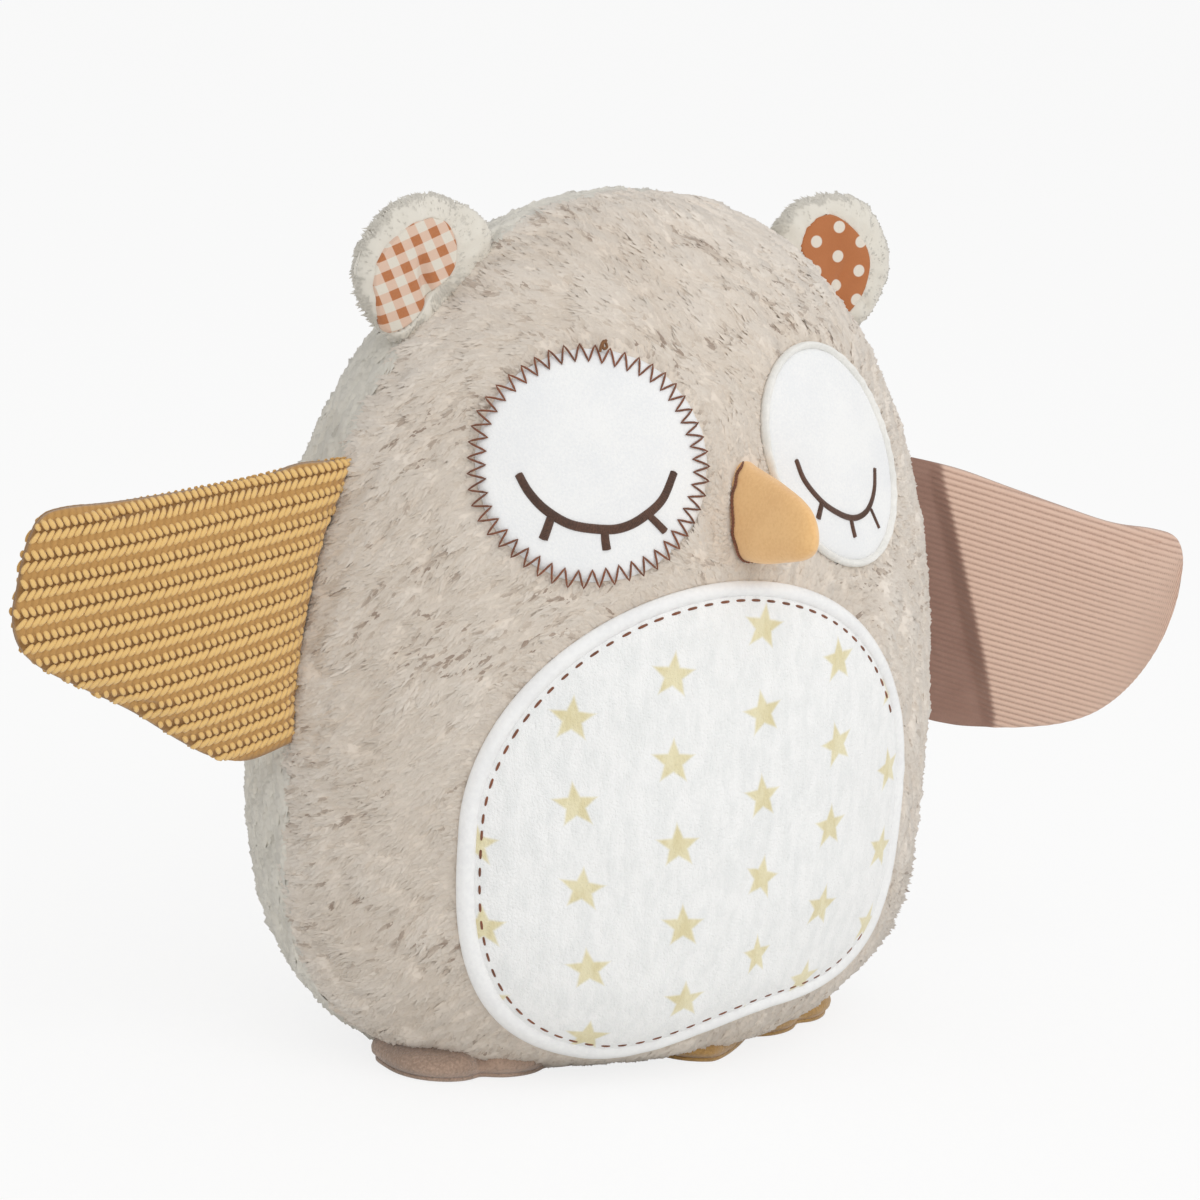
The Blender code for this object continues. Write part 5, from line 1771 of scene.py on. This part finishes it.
feet = {
    "halfWidth": 35.5 * mm, "toeReach": 26.5 * mm, "heelReach": 19.0 * mm, "height": 9.5 * mm,
    "toeSpacing": 23.5 * mm, "toeRadius": 12.2 * mm, "sole": 1.4 * mm, "room": 3.5 * mm, "toeRoom": 12.0 * mm,
    "innerToe": 14.0 * mm, "innerToeAhead": 10.0 * mm,
    "right": {"x": -45.0 * mm, "y": -6.0 * mm, "yaw": 0.0, "finish": velourMauve, "slot": "mauve"},
    "left": {"x": 45.0 * mm, "y": -2.5 * mm, "yaw": 14.0, "finish": velourTan, "slot": "mustard"},
}


def footOutline(word, count=160):
    # a round heel and three toes, in the foot's own plane
    turn = 2 * pi * (np.arange(count) + 0.5) / count
    u = feet["halfWidth"] * np.cos(turn)
    nearest = np.clip(np.round(u / feet["toeSpacing"]), -1, 1)
    off = np.minimum(np.abs(u - nearest * feet["toeSpacing"]) / feet["toeRadius"], 1.0)
    toe = feet["toeRadius"] * np.sqrt(1 - off ** 2) / 2
    root = np.sqrt(np.abs(np.sin(turn)))
    toes = -(feet["toeReach"] - feet["toeRadius"] / 2) * root - toe * root
    outline = np.stack([u, np.where(np.sin(turn) >= 0, feet["heelReach"] * np.sin(turn), toes)], 1)
    # soften the notches between the toes
    for _ in range(3):
        outline = (np.roll(outline, 1, 0) + 2 * outline + np.roll(outline, -1, 0)) / 4
    if word == "left":
        # its inner toe lies further in and further ahead
        inner = smoothStep((-outline[:, 0] - 12 * mm) / (14 * mm))
        outline[:, 0] -= feet["innerToe"] * inner
        outline[:, 1] -= feet["innerToeAhead"] * inner * (outline[:, 1] < 0)
    return outline


def setFoot(word, flat, height):
    # turns places of the foot's own plane to where the foot stands
    facts = feet[word]
    angle = radians(facts["yaw"])
    u, v = flat[..., 0], flat[..., 1]
    x = facts["x"] + u * cos(angle) - v * sin(angle)
    y = facts["y"] + u * sin(angle) + v * cos(angle)
    return np.stack([x, y, height], -1)


def makeFootTop(word, outline):
    facts = feet[word]
    rises = np.array([0.0, 0.08, 0.2, 0.34, 0.5, 0.66, 0.8, 0.91, 0.98, 1.0])
    sizes = np.interp(rises, (0, 0.25, 0.55, 0.85, 1.0), (0.94, 1.0, 0.98, 0.86, 0.70))
    sizes = np.concatenate([sizes, [0.6, 0.48, 0.36, 0.24, 0.12, 0.0]])[:, None]
    rises = np.concatenate([rises, [1.04, 1.06, 1.07, 1.08, 1.08, 1.08]])[:, None]
    flat = outline[None] * sizes[..., None]
    height = feet["sole"] + (feet["height"] - feet["sole"]) * rises * np.ones(len(outline))
    # the stitched lines between the toes sink in
    for notch in (-0.5, 0.5):
        away = (flat[..., 0] - notch * feet["toeSpacing"]) / (2.2 * mm)
        front = smoothStep((2 * mm - flat[..., 1]) / (12 * mm))
        height = height - 2.6 * mm * np.exp(-away ** 2) * front * smoothStep(rises * 1.6)
    places = np.concatenate([flat, np.zeros((*flat.shape[:2], 1))], 2).reshape(-1, 3)
    seed = 7.0 if word == "right" else 9.0
    height = height + wander(places, 80.0, seed).reshape(height.shape) * 0.7 * mm * rises
    height = np.maximum(height, feet["sole"])
    outer = setFoot(word, flat, height)
    inner = setFoot(word, flat * (0.96, 0.95), np.maximum(height - 1.2 * mm, feet["sole"] * 0.98))
    top = makePiece(word + "FootTop", twoSides(outer[::-1], inner[::-1]),
                    shellFaces(len(rises), len(outline), True),
                    facts["finish"], "foot_" + word, facts["slot"])
    tidyMesh(top)
    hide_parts("foot_" + word + "_top", "foot_" + word + "_stuffing")


def makeFootSole(word, outline):
    facts = feet[word]
    shares = np.array([0.0, 0.3, 0.6, 0.85, 0.95])
    flat = outline[None] * shares[:, None, None]
    upper = setFoot(word, flat, np.full(flat.shape[:2], feet["sole"]))
    lower = setFoot(word, flat, np.zeros(flat.shape[:2]))
    lower[-1, :, 2] = 0.4 * mm
    sole = makePiece(word + "FootSole", twoSides(upper, lower), shellFaces(len(shares), len(outline), True),
                     facts["finish"], "foot_" + word, facts["slot"])
    tidyMesh(sole)
    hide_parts("foot_" + word + "_sole")


print("owl: feet")
makeBase()
for word in ("right", "left"):
    makeFootTop(word, footOutline(word))
    makeFootSole(word, footOutline(word))


# floor, backdrop light and camera

studio = {
    "floorSize": 40.0, "floorColour": tint(244, 244, 243), "glow": 0.82, "worldLight": 0.76, "aimZ": 0.12,
    # each lamp's power, size and place
    "lamps": {"keyLight": (8.5, 1.4, (0.1, -1.3, 1.5)), "fillLight": (3.0, 1.8, (0.2, -1.7, 0.25))},
}


def makeFloor():
    # a pale floor that also glows a little to the camera, so that it fades into the backdrop
    finish, tree, shader = newFinish("pale floor", 0.95, 0.0, 0.1)
    shader.inputs["Base Color"].default_value = studio["floorColour"]
    glow = tree.nodes.new("ShaderNodeEmission")
    glow.inputs["Strength"].default_value = 1.0
    path = tree.nodes.new("ShaderNodeLightPath")
    share = sumOf(tree, "MULTIPLY", path.outputs["Is Camera Ray"], studio["glow"])
    mix = tree.nodes.new("ShaderNodeMixShader")
    tree.links.new(share, mix.inputs[0])
    tree.links.new(shader.outputs[0], mix.inputs[1])
    tree.links.new(glow.outputs[0], mix.inputs[2])
    output = next(n for n in tree.nodes if n.type == "OUTPUT_MATERIAL")
    tree.links.new(mix.outputs[0], output.inputs["Surface"])
    half = studio["floorSize"] / 2
    mesh = bpy.data.meshes.new("floor")
    corners = [(-half, -half, 0), (half, -half, 0), (half, half, 0), (-half, half, 0)]
    mesh.from_pydata(corners, [], [(0, 1, 2, 3)])
    mesh.materials.append(finish)
    floor = bpy.data.objects.new("floor", mesh)
    bpy.context.scene.collection.objects.link(floor)


def makeBackdrop():
    # white to the camera, and dimmer as a light
    world = bpy.data.worlds.new("studio")
    bpy.context.scene.world = world
    world.use_nodes = True
    tree = world.node_tree
    background = tree.nodes["Background"]
    background.inputs["Color"].default_value = (1.0, 1.0, 1.0, 1.0)
    path = tree.nodes.new("ShaderNodeLightPath")
    seen = sumOf(tree, "MAXIMUM", path.outputs["Is Camera Ray"], path.outputs["Is Transmission Ray"])
    strength = sumOf(tree, "MULTIPLY_ADD", seen, 1.0 - studio["worldLight"], studio["worldLight"])
    tree.links.new(strength, background.inputs["Strength"])


def makeLamps():
    for name, (power, size, place) in studio["lamps"].items():
        light = bpy.data.lights.new(name, "AREA")
        light.energy = power
        light.size = size
        lamp = bpy.data.objects.new(name, light)
        bpy.context.scene.collection.objects.link(lamp)
        lamp.location = place
        aim = Vector((0.0, 0.0, studio["aimZ"])) - lamp.location
        lamp.rotation_euler = aim.to_track_quat("-Z", "Y").to_euler()


view = {"azimuth": -31.7, "elevation": 12.08, "roll": 3.54, "distance": 1.1121, "lens": 110.66,
        "lookZ": 0.126, "shiftAcross": -6.448 * mm, "shiftUp": 8.901 * mm}


def makeCamera():
    azimuth, elevation, roll = radians(view["azimuth"]), radians(view["elevation"]), radians(view["roll"])
    back = Vector((sin(azimuth) * cos(elevation), -cos(azimuth) * cos(elevation), sin(elevation)))
    right = Vector((cos(azimuth), sin(azimuth), 0.0))
    up = back.cross(right)
    tiltedRight = right * cos(roll) + up * sin(roll)
    tiltedUp = up * cos(roll) - right * sin(roll)
    look = Vector((0.0, 0.0, view["lookZ"])) + tiltedRight * view["shiftAcross"] + tiltedUp * view["shiftUp"]
    data = bpy.data.cameras.new("camera")
    data.lens = view["lens"]
    data.sensor_width = 36.0
    camera = bpy.data.objects.new("camera", data)
    bpy.context.scene.collection.objects.link(camera)
    turn = Matrix((tiltedRight, tiltedUp, back)).transposed().to_4x4()
    turn.translation = look + back * view["distance"]
    camera.matrix_world = turn
    bpy.context.scene.camera = camera


print("owl: studio")
makeFloor()
makeBackdrop()
makeLamps()
makeCamera()
bpy.context.scene.view_settings.view_transform = "Standard"

bpy.context.view_layer.update()
